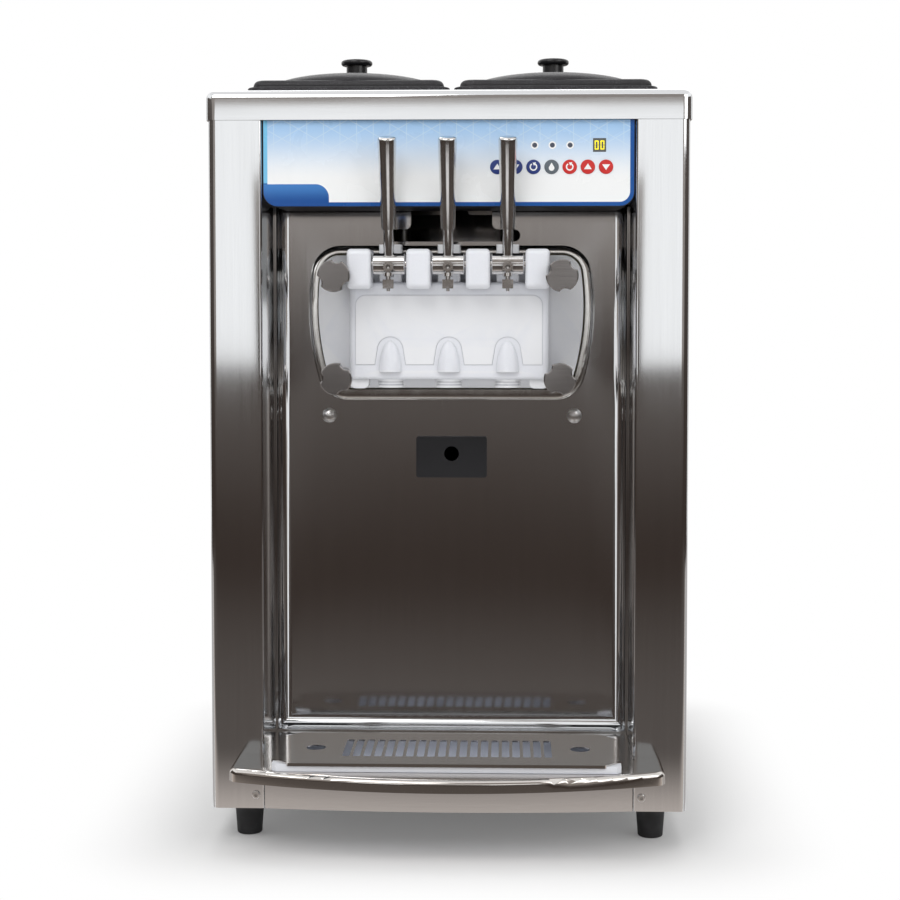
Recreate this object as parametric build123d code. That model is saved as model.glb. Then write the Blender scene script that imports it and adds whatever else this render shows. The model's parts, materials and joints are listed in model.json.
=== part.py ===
from build123d import *
import math
import os

# Countertop soft-serve freezer with twin barrels, seen from the front along +Y.
# All sizes are in millimetres. X runs to the right, Z runs up from the counter.

# Cabinet
BODY_WIDTH = 535.6
BODY_DEPTH = 627.0
SHEET = 1.5
PANEL_GAP = 0.2
PILLAR_WIDTH = 60.3
PILLAR_BEND = 9.0
BAY_BEND = 3.5
BAY_DEPTH = 130.0
BAY_COVE = 15.0
SPLASH_FLANGE = 18.0
COVER_LAP = 2.2
COVER_FLANGE = 33.5
COVER_EDGE = 10.0
REAR_RETURN = 40.0
PAN_SHEET = 2.0
PAN_FLANGE = 18.0
LOUVRE_COUNT = 9
LOUVRE_PITCH = 22.0
LOUVRE_WIDTH = 150.0
LOUVRE_SLOT = 7.0
LOUVRE_SPREAD = 170.0
LOUVRE_HEIGHT = 90.0

# Feet
FOOT_HEIGHT = 40.0
FOOT_TOP_RADIUS = 17.2
FOOT_TIP_RADIUS = 14.2
FOOT_EDGE = 2.0
FOOT_SIDE_INSET = 37.0
FOOT_END_INSET = 45.0

# Front rail and drip shelf
RAIL_BOW = 11.0
RAIL_RETURN = 20.0
RAIL_JOINT_GAP = 0.3
SHELF_HEIGHT = 62.0
SHELF_REACH = 108.0
SHELF_BOW = 42.0
SHELF_INSET = 29.3
SHELF_SKIRT = 14.0
SHELF_CORNER = 14.0
SHELF_ROLL = 6.0

# Drip tray and grille
TRAY_SIDE_GAP = 17.5
TRAY_DEPTH = 136.0
TRAY_CENTRE = -8.0
TRAY_RIM = 14.0
TRAY_RIM_THICK = 8.0
TRAY_WALL = 2.0
TRAY_SINK = 18.0
TRAY_CHAMFER = 5.0
TRAY_CORNER = 10.0
TRAY_HOLE_GAP = 2.0
GRILLE_SIDE_GAP = 0.4
GRILLE_SKIRT = 2.0
GRILLE_CHAMFER = 20.0
GRILLE_SLOTS = 20
GRILLE_WEB = 3.45
GRILLE_SLOT_LENGTH = 74.5
GRILLE_SLOT_BEND = 0.3
GRILLE_FINGER_RADIUS = 11.0
GRILLE_FINGER_INSET = 42.0
GRILLE_FINGER_GAP = 30.5
SEAT_GAP = 0.3

# Control panel
FASCIA_SETBACK = 3.0
FASCIA_SIDE_GAP = 0.5
OVERLAY_INSET = 1.2
FASCIA_LIFT = 128.3
FASCIA_HEIGHT = 95.0
FASCIA_DEPTH = 108.0
FASCIA_SHEET = 2.0
FASCIA_CORNER = 16.0
OVERLAY_THICK = 1.0
KEY_COUNT = 7
KEY_PITCH = 20.05
KEY_MARGIN = 31.1
KEY_RISE = 43.0
KEY_RADIUS = 7.9
KEY_PROUD = 0.9
KEY_COLLAR = 1.2
KEY_COLLAR_THICK = 1.5
KEY_GAP = 0.15
KEY_TRAVEL = 0.7
KEY_STEM_RADIUS = 2.2
KEY_STEM = 3.0
LAMP_RADIUS = 2.5
LAMP_PITCH = 19.6
LAMP_MARGIN = 90.4
LAMP_RISE = 67.0
DISPLAY_MARGIN = 38.3
DISPLAY_WIDTH = 14.2
DISPLAY_HEIGHT = 14.8
DISPLAY_DEPTH = 6.0
BOARD_THICK = 1.6
BOARD_GAP = 1.3
BOARD_WIDTH = 160.0
BOARD_HEIGHT = 68.0
BOARD_MARGIN = 90.8
BOARD_POST_RADIUS = 3.0
BOARD_POST_INSET = 5.0

# Freezing barrels
BARREL_HEIGHT = 550.0
BARREL_RADIUS = 46.0
BARREL_WALL = 3.0
BARREL_LENGTH = 246.0
FLANGE_LEAD = 20.0
FLANGE_THICK = 6.0
FLANGE_MARGIN = 2.0
JACKET_WIDTH = 350.0
JACKET_RISE = 87.0
JACKET_DROP = 92.0
JACKET_LENGTH = 220.0
SHAFT_RADIUS = 7.0
SHAFT_GAP = 0.08
SHAFT_FRONT = 9.0
SHAFT_REAR = 18.0
BEATER_GAP = 2.0
BEATER_BLADE = 5.0
BEATER_BLADE_WIDTH = 16.0
BEATER_SPIDER = 6.0
BEATER_SPIDERS = 3
BEATER_END_GAP = 8.0

# Draw door
HANDLE_PITCH = 66.2
DOOR_TOP = 76.0
DOOR_BOTTOM = 78.0
DOOR_TOP_HALF = 148.0
DOOR_MID_HALF = 154.0
DOOR_MID_RISE = 10.0
DOOR_BOTTOM_HALF = 138.0
DOOR_CORNER = 22.0
DOOR_PLATE = 16.0
GASKET_THICK = 2.0
GASKET_WIDTH = 5.0
BOX_HALF = 113.0
BOX_TOP = 44.2
BOX_BOTTOM = 65.5
BOX_DEPTH = 66.0
BOX_EDGE = 9.0
BOX_RIM = 4.0
LEG_HALF = 10.5
LEG_SIDE_GAP = 1.0
LEG_DROP = 10.5
LEG_DEPTH = 26.0
LEG_INSET = 6.0
LEG_ROUND = 6.0
LUG_WIDTH = 27.0
LUG_RISE = 16.7
LUG_DROP = 28.0
LUG_LEAD = 14.0
LUG_ROOT = 32.0
LUG_ROUND = 7.0
LUG_SIDE_ROUND = 4.5
BULGE_HALF = 13.0
BULGE_DEPTH = 10.0
BULGE_SINK = 2.0
BULGE_BOTTOM = 57.0
BULGE_HEIGHT = 36.0
COLLAR_PROUD = 22.0
COLLAR_MARGIN = 14.0
COLLAR_SHIFT = 2.0
COLLAR_OPENING = 3.0
COLLAR_ROUND = 7.5
GROOVE_WIDTH = 0.9
GROOVE_DEPTH = 0.8
GROOVE_HALF = 106.0
GROOVE_TOP = 30.0
GROOVE_CORNER = 12.0
GROOVE_BOTTOM = 49.5
GROOVE_ARCH = 18.0
GROOVE_ARCH_HALF = 17.0
GROOVE_NECK = 31.0
GROOVE_NECK_HALF = 14.0

# Plungers and outlets
PLUNGER_INSET = 17.0
PLUNGER_RADIUS = 10.9
PLUNGER_GAP = 0.1
PLUNGER_TIP_GAP = 2.0
HEAD_WIDTH = 25.6
HEAD_DEPTH = 26.0
HEAD_TOP = 86.6
HEAD_ROUND = 2.5
PASSAGE_RADIUS = 7.0
PASSAGE_DROP = 33.0
TWIST_X = 27.0
TWIST_DROP = 7.0
NOZZLE_RADIUS = 14.9
NOZZLE_HEIGHT = 9.5
NOZZLE_BORE = 9.0
NOZZLE_GROOVE = 1.2
STAR_POINTS = 6
STAR_TIP = 12.0

# Levers
PIVOT_RISE = 64.3
PIVOT_LEAD = 19.0
PIVOT_RADIUS = 4.0
PIVOT_GAP = 0.05
HUB_RADIUS = 11.9
HUB_WIDTH = 36.0
STEM_RADIUS = 5.9
STEM_LENGTH = 112.0
GRIP_START = 40.0
GRIP_END = 142.0
GRIP_FOOT_RADIUS = 8.0
GRIP_TOP_RADIUS = 10.5
GRIP_ROUND = 3.0
GRIP_FIT = 0.05
LEVER_LEAN = 14.0
LEVER_PULL = 45.0
FINGER_LENGTH = 27.0
FINGER_RADIUS = 2.4
FINGER_BALL = 3.5
FINGER_GAP = 0.4
STOP_BOSS_RADIUS = 5.8
STOP_BOSS_PROUD = 5.0
STOP_BOSS_DROP = 3.5
STOP_HEX = 2.6
STOP_HEX_DEPTH = 3.0
STOP_STEM_RADIUS = 3.2
STOP_NUT = 5.4
STOP_NUT_TOP = 10.0
STOP_NUT_THICK = 4.0
STOP_BLOCK = 12.0
STOP_BLOCK_DEPTH = 9.0
STOP_BLOCK_TOP = 17.5
STOP_BLOCK_BOTTOM = 27.5
STOP_TIP_RADIUS = 2.0
STOP_TIP = 30.5

# Hand screws and studs
STUD_TOP_X = 126.0
STUD_BOTTOM_X = 124.0
STUD_RISE = 50.8
STUD_DROP = 63.4
STUD_RADIUS = 5.0
STUD_LENGTH = 60.0
STUD_HOLE_GAP = 0.4
SCREW_RADIUS = 18.0
SCREW_HEAD = 12.0
SCREW_NECK_RADIUS = 9.0
SCREW_LUG_GAP = 2.0
SCREW_GAP = 0.06
SCREW_RELIEF = 0.8
SCREW_BORE_SPARE = 1.0
SCALLOP_RADIUS = 8.0
SCALLOP_DEPTH = 3.6
SCREW_EDGE = 1.2
SCREW_TURNS = (80.0, 40.0, 55.0, 20.0)

# Splash panel openings
HATCH_HALF = 81.0
HATCH_RISE = 93.0
HATCH_HEIGHT = 14.5
HATCH_NECK_HALF = 48.0
HATCH_ROUND = 7.0
SPLASH_TUCK = 5.0

# Drip drawer
DRAWER_DROP = 162.0
DRAWER_FACE_WIDTH = 83.7
DRAWER_FACE_HEIGHT = 48.5
DRAWER_FACE = 5.0
DRAWER_FACE_ROUND = 3.0
DRAWER_WIDTH = 74.0
DRAWER_HEIGHT = 40.0
DRAWER_LENGTH = 200.0
DRAWER_WALL = 2.0
DRAWER_GAP = 0.5
DRAWER_HOLE_RADIUS = 8.8
DRAWER_HOLE_RISE = 4.0
SLEEVE_WALL = 1.5
SLEEVE_SPARE = 4.0

# Screws
DOME_RADIUS = 8.7
DOME_HEIGHT = 5.0
DOME_INSET = 62.0
DOME_DROP = 113.0
DOME_SHANK = 3.0
DOME_SHANK_LENGTH = 10.0
PILLAR_SCREW_RADIUS = 4.5
PILLAR_SCREW_HEAD = 2.5
PILLAR_SCREW_INSET = 9.5
PILLAR_SCREW_RISE = 15.5
PILLAR_SCREW_SHANK = 2.0
PILLAR_SCREW_SOCKET = 1.8
SHANK_GAP = 0.2

# Hoppers and lids
HOPPER_LEAD = 2.5
HOPPER_DEPTH = 256.0
HOPPER_SINK = 120.0
HOPPER_WALL = 2.0
HOPPER_CORNER = 10.0
HOPPER_RIM = 12.5
HOPPER_RIM_LAP = 11.0
HOPPER_HOLE_GAP = 0.5
LID_LAP = 2.0
LID_EDGE_GAP = 27.0
LID_SPLIT = 5.0
LID_FLANGE = 5.5
LID_SHOULDER = 8.4
LID_SHOULDER_INSET = 7.0
LID_SHOULDER_ROUND = 7.0
LID_DOME = 18.6
LID_DOME_INSET = 5.0
LID_WALL = 3.0
LID_PLUG = 6.0
LID_PLUG_GAP = 2.0
LID_BOSS_RADIUS = 14.5
LID_BOSS_PROUD = 0.6
KNOB_NECK_RADIUS = 13.0
KNOB_NECK = 13.5
KNOB_CAP_RADIUS = 19.5
KNOB_CAP = 7.2
KNOB_ROUND = 3.4
TUBE_RADIUS = 9.0
TUBE_BORE = 6.0
TUBE_SETBACK = 290.0
TUBE_STAND = 50.0
TUBE_GAP = 0.2

# Drive and refrigeration
GEARBOX_WIDTH = 100.0
GEARBOX_DEPTH = 70.0
GEARBOX_HEIGHT = 110.0
MOTOR_RADIUS = 48.0
MOTOR_LENGTH = 120.0
COMPRESSOR_INSET = 142.8
COMPRESSOR_SETBACK = 300.0
COMPRESSOR_RADIUS = 78.0
COMPRESSOR_HEIGHT = 200.0
COMPRESSOR_ROUND = 40.0
COMPRESSOR_FOOT = 6.0
CONDENSER_WIDTH = 320.0
CONDENSER_DEPTH = 50.0
CONDENSER_HEIGHT = 260.0
CONDENSER_REAR_GAP = 30.0
CONDENSER_FINS = 16
CONDENSER_FIN_CUT = 12.0
SHROUD_DEPTH = 20.0
FAN_RADIUS = 112.0
FAN_TIP_GAP = 5.0
FAN_HUB_RADIUS = 24.0
FAN_BLADES = 5
FAN_BLADE_THICK = 2.0
FAN_BLADE_WIDTH = 58.0
FAN_PITCH = 24.0
FAN_HUB_DEPTH = 14.0
FAN_SHAFT_RADIUS = 4.0
FAN_SHAFT_GAP = 0.05
FAN_MOTOR_RADIUS = 40.0
FAN_MOTOR_LENGTH = 45.0
FAN_MOTOR_GAP = 8.0
FAN_BRACKET = 40.0
FAN_BRACKET_SHEET = 4.0

# Power inlet
INLET_INSET = 77.8
INLET_RISE = 60.0
INLET_WIDTH = 28.0
INLET_HEIGHT = 21.0
INLET_DEPTH = 22.0
INLET_LIP = 5.0
INLET_LIP_THICK = 1.8
INLET_SOCKET = 15.0
INLET_SOCKET_WALL = 2.5

# Places worked out from the driving dimensions
FRONT_Y = (SHELF_REACH - BODY_DEPTH - COVER_LAP) / 2
REAR_Y = FRONT_Y + BODY_DEPTH
BASE_Z = FOOT_HEIGHT
BARREL_Z = BASE_Z + BARREL_HEIGHT
FASCIA_FOOT_Z = BARREL_Z + FASCIA_LIFT
FASCIA_TOP_Z = FASCIA_FOOT_Z + FASCIA_HEIGHT
COVER_EDGE_Z = FASCIA_TOP_Z + PANEL_GAP
COVER_Z = COVER_EDGE_Z + COVER_FLANGE
PANEL_TOP_Z = COVER_Z - COVER_EDGE - PANEL_GAP
PAN_TOP_Z = BASE_Z + PAN_SHEET
PAN_Y = FRONT_Y + PILLAR_BEND + PANEL_GAP
COVER_CORNER = PILLAR_BEND + COVER_LAP
SIDE_X = BODY_WIDTH / 2
BAY_X = SIDE_X - PILLAR_WIDTH
SPLASH_Y = FRONT_Y + BAY_DEPTH
SPLASH_BACK_Y = SPLASH_Y + SHEET + PANEL_GAP
SPLASH_X = BAY_X - PANEL_GAP
SHELF_Z = BASE_Z + SHELF_HEIGHT
SPLASH_FOOT_Z = SHELF_Z + PANEL_GAP
SPLASH_TOP_Z = FASCIA_FOOT_Z + SPLASH_TUCK
OVERLAY_Y = FRONT_Y + FASCIA_SETBACK
FASCIA_Y = OVERLAY_Y + OVERLAY_THICK
FASCIA_BACK_Y = FASCIA_Y + FASCIA_SHEET
FASCIA_X = BAY_X - FASCIA_SIDE_GAP
OVERLAY_X = FASCIA_X - OVERLAY_INSET
KEY_LAST_X = OVERLAY_X - KEY_MARGIN
LAMP_X = OVERLAY_X - LAMP_MARGIN
DISPLAY_X = OVERLAY_X - DISPLAY_MARGIN
BOARD_X = OVERLAY_X - BOARD_MARGIN
FLANGE_Y = SPLASH_Y - FLANGE_LEAD
BARREL_REAR_Y = FLANGE_Y + FLANGE_THICK + BARREL_LENGTH
DOOR_BACK_Y = FLANGE_Y - GASKET_THICK
DOOR_PLATE_Y = DOOR_BACK_Y - DOOR_PLATE
BOX_Y = DOOR_PLATE_Y - BOX_DEPTH
BOX_TOP_Z = BARREL_Z + BOX_TOP
BOX_FOOT_Z = BARREL_Z - BOX_BOTTOM
PLUNGER_Y = BOX_Y + PLUNGER_INSET
PIVOT_Y = BOX_Y - PIVOT_LEAD
PIVOT_Z = BARREL_Z + PIVOT_RISE
HEAD_FOOT_Z = BOX_TOP_Z + SEAT_GAP
HEAD_TOP_Z = BARREL_Z + HEAD_TOP
FINGER_REST = -LEVER_PULL / 2
FINGER_TIP_Z = PIVOT_Z + FINGER_LENGTH * math.sin(math.radians(FINGER_REST))
HOPPER_Y = SPLASH_BACK_Y + HOPPER_LEAD + HOPPER_WALL + HOPPER_DEPTH / 2
HOPPER_TOP_Z = COVER_Z + HOPPER_RIM
HOPPER_FOOT_Z = COVER_Z - HOPPER_SINK
LID_WIDTH = SIDE_X + COVER_LAP - LID_EDGE_GAP - LID_SPLIT / 2
HOPPER_X = (LID_SPLIT + LID_WIDTH) / 2
RIM_WIDTH = LID_WIDTH - 2 * LID_LAP
HOPPER_WIDTH = RIM_WIDTH - 2 * (HOPPER_WALL + HOPPER_RIM_LAP)
RIM_DEPTH = HOPPER_DEPTH + 2 * (HOPPER_WALL + HOPPER_RIM_LAP)
LID_Z = HOPPER_TOP_Z + SEAT_GAP
TUBE_Y = FRONT_Y + TUBE_SETBACK
DRAWER_Z = BARREL_Z - DRAWER_DROP
DOME_X = BAY_X - DOME_INSET
SHELF_X = SIDE_X - SHELF_INSET
TRAY_X = BAY_X - TRAY_SIDE_GAP
TRAY_Y = FRONT_Y + TRAY_CENTRE
TRAY_RIM_Z = SHELF_Z + SEAT_GAP
TRAY_TOP_Z = TRAY_RIM_Z + TRAY_RIM_THICK
GRILLE_FOOT_Z = TRAY_TOP_Z + SEAT_GAP
GRILLE_TOP_Z = GRILLE_FOOT_Z + SHEET
GRILLE_FINGER_X = TRAY_X - GRILLE_FINGER_INSET
GRILLE_PITCH = 2 * (GRILLE_FINGER_X - GRILLE_FINGER_GAP) / GRILLE_SLOTS
GRILLE_SLOT_WIDTH = GRILLE_PITCH - GRILLE_WEB
GRILLE_SLOT_ROUND = GRILLE_SLOT_WIDTH * GRILLE_SLOT_BEND
COMPRESSOR_X = COMPRESSOR_INSET - SIDE_X
INLET_X = INLET_INSET - SIDE_X
CONDENSER_REAR_Y = REAR_Y - CONDENSER_REAR_GAP
CONDENSER_Y = CONDENSER_REAR_Y - CONDENSER_DEPTH
SHROUD_Y = CONDENSER_Y - SHROUD_DEPTH
FAN_Z = PAN_TOP_Z + CONDENSER_HEIGHT / 2
FAN_SWEEP = FAN_BLADE_WIDTH * math.sin(math.radians(FAN_PITCH)) + FAN_BLADE_THICK
FAN_Y = CONDENSER_Y - FAN_SWEEP / 2 - FAN_TIP_GAP
FAN_MOTOR_REAR_Y = FAN_Y - FAN_SWEEP / 2 - FAN_MOTOR_GAP
FAN_MOTOR_Y = FAN_MOTOR_REAR_Y - FAN_MOTOR_LENGTH
HANDLE_PLACES = {"left": -HANDLE_PITCH, "centre": 0.0, "right": HANDLE_PITCH}
SIDES = {"left": -1, "right": 1}
STUD_PLACES = {
    "top_left": (-STUD_TOP_X, BARREL_Z + STUD_RISE),
    "top_right": (STUD_TOP_X, BARREL_Z + STUD_RISE),
    "bottom_left": (-STUD_BOTTOM_X, BARREL_Z - STUD_DROP),
    "bottom_right": (STUD_BOTTOM_X, BARREL_Z - STUD_DROP),
}


# Plain solids placed by their corners and ends
def block(x0, x1, y0, y1, z0, z1):
    centre = Pos((x0 + x1) / 2, (y0 + y1) / 2, (z0 + z1) / 2)
    return centre * Box(x1 - x0, y1 - y0, z1 - z0)


def soft_block(x0, x1, y0, y1, z0, z1, axis, radius):
    solid = block(x0, x1, y0, y1, z0, z1)
    return fillet(solid.edges().filter_by(axis), radius)


def tub(x, y, width, depth, z0, z1, corner):
    half_x = width / 2
    half_y = depth / 2
    return soft_block(x - half_x, x + half_x, y - half_y, y + half_y, z0, z1, Axis.Z, corner)


def rod_x(radius, x0, x1, y, z):
    return Pos((x0 + x1) / 2, y, z) * Rot(0, 90, 0) * Cylinder(radius, x1 - x0)


def rod_y(radius, y0, y1, x, z):
    return Pos(x, (y0 + y1) / 2, z) * Rot(90, 0, 0) * Cylinder(radius, y1 - y0)


def rod_z(radius, z0, z1, x, y):
    return Pos(x, y, (z0 + z1) / 2) * Cylinder(radius, z1 - z0)


def front_plane(y, z, x=0.0):
    return Plane(origin=(x, y, z), x_dir=(1, 0, 0), z_dir=(0, -1, 0))


def group(solids):
    return Part() + list(solids)


# Cabinet sheet metal
def base_pan():
    half = SIDE_X - SHEET - PANEL_GAP
    front = PAN_Y
    rear = REAR_Y - PILLAR_BEND - PANEL_GAP
    flange_z = BASE_Z + PAN_FLANGE
    pan = block(-half, half, front, rear, BASE_Z, PAN_TOP_Z)
    pan += block(-half, half, rear - PAN_SHEET, rear, BASE_Z, flange_z)
    for side in SIDES.values():
        inner = side * (half - PAN_SHEET)
        low, high = sorted((side * half, inner))
        pan += block(low, high, front, rear, BASE_Z, flange_z)
    return pan


def feet():
    solids = []
    for side in SIDES.values():
        for y in (FRONT_Y + FOOT_END_INSET, REAR_Y - FOOT_END_INSET):
            cone = Cone(FOOT_TIP_RADIUS, FOOT_TOP_RADIUS, FOOT_HEIGHT)
            tip = cone.edges().sort_by(Axis.Z)[0]
            cone = fillet(tip, FOOT_EDGE)
            place = Pos(side * (SIDE_X - FOOT_SIDE_INSET), y, FOOT_HEIGHT / 2)
            solids.append(place * cone)
    return group(solids)


def side_panel(side):
    middle = SHEET / 2
    outer = side * (SIDE_X - middle)
    inner = side * (BAY_X + middle)
    front = FRONT_Y + middle
    rear = REAR_Y - middle
    fold = side * (SIDE_X - REAR_RETURN)
    points = [(fold, rear), (outer, rear), (outer, front), (inner, front), (inner, SPLASH_BACK_Y)]
    path = Polyline(*points)
    bay_corner = path.vertices().sort_by_distance((inner, front, 0))[0]
    path = fillet(bay_corner, BAY_BEND - middle)
    outer_corners = path.vertices().sort_by(Axis.X, reverse=side > 0)[:2]
    path = fillet(outer_corners, PILLAR_BEND - middle)
    profile = Pos(0, 0, BASE_Z) * trace(path, line_width=SHEET)
    panel = extrude(profile, amount=PANEL_TOP_Z - BASE_Z, dir=(0, 0, 1))
    low, high = sorted((side * (BAY_X - PANEL_GAP), side * (SIDE_X - SHEET)))
    pan_front = PAN_Y - PANEL_GAP
    pan_room = block(low, high, pan_front, SPLASH_BACK_Y + PANEL_GAP, BASE_Z, PAN_TOP_Z + PANEL_GAP)
    screw_x, screw_z = pillar_screw_place(side)
    hole = rod_y(PILLAR_SCREW_SHANK + SHANK_GAP, FRONT_Y - SHEET, pan_front, screw_x, screw_z)
    return panel - pan_room - hole


def rear_panel():
    half = SIDE_X - REAR_RETURN - PANEL_GAP
    panel = block(-half, half, REAR_Y - SHEET, REAR_Y, BASE_Z, PANEL_TOP_Z)
    slots = []
    for side in SIDES.values():
        for index in range(LOUVRE_COUNT):
            z = BASE_Z + LOUVRE_HEIGHT + index * LOUVRE_PITCH
            x = side * LOUVRE_SPREAD / 2
            low, high = x - LOUVRE_WIDTH / 2, x + LOUVRE_WIDTH / 2
            slot = block(low, high, REAR_Y - 2 * SHEET, REAR_Y + SHEET, z, z + LOUVRE_SLOT)
            slots.append(slot)
    inlet_z = BASE_Z + INLET_RISE
    half_x = INLET_WIDTH / 2 + PANEL_GAP
    half_z = INLET_HEIGHT / 2 + PANEL_GAP
    hole = block(
        INLET_X - half_x, INLET_X + half_x, REAR_Y - 2 * SHEET, REAR_Y + SHEET,
        inlet_z - half_z, inlet_z + half_z,
    )
    return panel - slots - hole


def top_cover():
    half = SIDE_X + COVER_LAP
    front = FRONT_Y - COVER_LAP
    rear = REAR_Y + COVER_LAP
    shell = soft_block(-half, half, front, rear, COVER_EDGE_Z, COVER_Z, Axis.Z, COVER_CORNER)
    rim = shell.faces().sort_by(Axis.Z)[-1].edges()
    shell = fillet(rim, COVER_EDGE)
    inside = soft_block(
        -half + SHEET, half - SHEET, front + SHEET, rear - SHEET,
        COVER_EDGE_Z - SHEET, COVER_Z - SHEET, Axis.Z, COVER_CORNER - SHEET,
    )
    inside = fillet(inside.faces().sort_by(Axis.Z)[-1].edges(), COVER_EDGE - SHEET)
    cover = shell - inside
    for side in SIDES.values():
        width = HOPPER_WIDTH + 2 * (HOPPER_WALL + HOPPER_HOLE_GAP)
        depth = HOPPER_DEPTH + 2 * (HOPPER_WALL + HOPPER_HOLE_GAP)
        corner = HOPPER_CORNER + HOPPER_WALL + HOPPER_HOLE_GAP
        cover -= tub(side * HOPPER_X, HOPPER_Y, width, depth, COVER_EDGE_Z, COVER_Z + SHEET, corner)
    return cover


def door_outline(margin):
    top = Line((-DOOR_TOP_HALF, DOOR_TOP), (DOOR_TOP_HALF, DOOR_TOP))
    right = ThreePointArc(
        (DOOR_TOP_HALF, DOOR_TOP), (DOOR_MID_HALF, DOOR_MID_RISE), (DOOR_BOTTOM_HALF, -DOOR_BOTTOM)
    )
    bottom = Line((DOOR_BOTTOM_HALF, -DOOR_BOTTOM), (-DOOR_BOTTOM_HALF, -DOOR_BOTTOM))
    left = ThreePointArc(
        (-DOOR_BOTTOM_HALF, -DOOR_BOTTOM), (-DOOR_MID_HALF, DOOR_MID_RISE), (-DOOR_TOP_HALF, DOOR_TOP)
    )
    face = make_face([top, right, bottom, left])
    face = fillet(face.vertices(), DOOR_CORNER)
    if margin == 0:
        return face
    return offset(face, amount=margin)


def hatch_outline():
    sill = HATCH_RISE
    shelf = HATCH_RISE + HATCH_HEIGHT
    top = SPLASH_TOP_Z + SHEET - BARREL_Z
    wide = HATCH_HALF
    neck = HATCH_NECK_HALF
    points = [
        (-wide, sill), (wide, sill), (wide, shelf), (neck, shelf),
        (neck, top), (-neck, top), (-neck, shelf), (-wide, shelf),
    ]
    face = make_face(Polyline(*points, close=True))
    corners = face.vertices().sort_by(Axis.Y)[:-2]
    return fillet(corners, HATCH_ROUND)


def splash_panel():
    top = SPLASH_TOP_Z
    front = SPLASH_Y - SPLASH_FLANGE
    panel = block(-SPLASH_X, SPLASH_X, front, SPLASH_Y + SHEET, SPLASH_FOOT_Z, top)
    inner = SPLASH_X - SHEET
    room = block(-inner, inner, front - SHEET, SPLASH_Y, SPLASH_FOOT_Z + SHEET, top + SHEET)
    corners = room.faces().sort_by(Axis.Y)[-1].edges()
    coves = corners.sort_by(Axis.Z)[:-1]
    panel -= fillet(coves, BAY_COVE)
    opening = extrude(front_plane(SPLASH_BACK_Y, BARREL_Z) * door_outline(COLLAR_OPENING), SHEET * 3)
    panel -= opening
    panel -= extrude(front_plane(SPLASH_BACK_Y, BARREL_Z) * hatch_outline(), SHEET * 3)
    half_x = DRAWER_WIDTH / 2 + DRAWER_GAP
    half_z = DRAWER_HEIGHT / 2 + DRAWER_GAP
    panel -= block(
        -half_x, half_x, SPLASH_Y - SHEET, SPLASH_BACK_Y, DRAWER_Z - half_z, DRAWER_Z + half_z
    )
    for side in SIDES.values():
        x, z = side * DOME_X, BARREL_Z - DOME_DROP
        panel -= rod_y(DOME_SHANK + SHANK_GAP, SPLASH_Y - SHEET, SPLASH_BACK_Y, x, z)
    return panel


def door_surround():
    back = SPLASH_Y - PANEL_GAP
    centre_z = BARREL_Z - COLLAR_SHIFT
    plane = front_plane(back, centre_z)
    ring = extrude(plane * door_outline(COLLAR_MARGIN), COLLAR_PROUD - PANEL_GAP)
    front_edge = ring.faces().sort_by(Axis.Y)[0].edges()
    ring = fillet(front_edge, COLLAR_ROUND)
    hollow = extrude(plane * door_outline(COLLAR_MARGIN - SHEET), COLLAR_PROUD - PANEL_GAP - SHEET)
    hollow_edge = hollow.faces().sort_by(Axis.Y)[0].edges()
    hollow = fillet(hollow_edge, COLLAR_ROUND - SHEET)
    opening = extrude(front_plane(back, BARREL_Z) * door_outline(COLLAR_OPENING), COLLAR_PROUD)
    return ring - hollow - opening


def front_rail():
    half = BAY_X - RAIL_JOINT_GAP
    top = SHELF_Z - TRAY_SINK - TRAY_HOLE_GAP
    outer = ThreePointArc((-half, FRONT_Y), (0, FRONT_Y - RAIL_BOW), (half, FRONT_Y))
    back = FRONT_Y + SHEET
    inner = ThreePointArc((half, back), (0, back - RAIL_BOW), (-half, back))
    right = Line((half, FRONT_Y), (half, back))
    left = Line((-half, back), (-half, FRONT_Y))
    face = make_face([outer, right, inner, left])
    rail = extrude(Pos(0, 0, BASE_Z) * face, amount=top - BASE_Z, dir=(0, 0, 1))
    foot = PAN_TOP_Z + PANEL_GAP
    for side in SIDES.values():
        low, high = sorted((side * half, side * (half - SHEET)))
        rail += block(low, high, FRONT_Y, FRONT_Y + RAIL_RETURN, foot, top)
    return rail


def shelf_front(inset, rear):
    half = SHELF_X - inset
    tip = FRONT_Y - SHELF_REACH + inset
    end = tip + SHELF_BOW
    bow = ThreePointArc((-half, end), (0, tip), (half, end))
    right = Line((half, end), (half, rear))
    back = Line((half, rear), (-half, rear))
    left = Line((-half, rear), (-half, end))
    face = make_face([bow, right, back, left])
    corners = face.vertices().sort_by(Axis.Y)[:2]
    return fillet(corners, SHELF_CORNER - inset)


def tray_outline(spare, corner, z):
    plate = Pos(0, TRAY_Y, z) * Rectangle(2 * (TRAY_X + spare), TRAY_DEPTH + 2 * spare)
    return chamfer(plate.vertices(), corner)


def tray_well(spare, z0, z1):
    width = 2 * (TRAY_X - TRAY_RIM + spare)
    depth = TRAY_DEPTH - 2 * TRAY_RIM + 2 * spare
    return tub(0, TRAY_Y, width, depth, z0, z1, TRAY_CORNER + spare)


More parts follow.
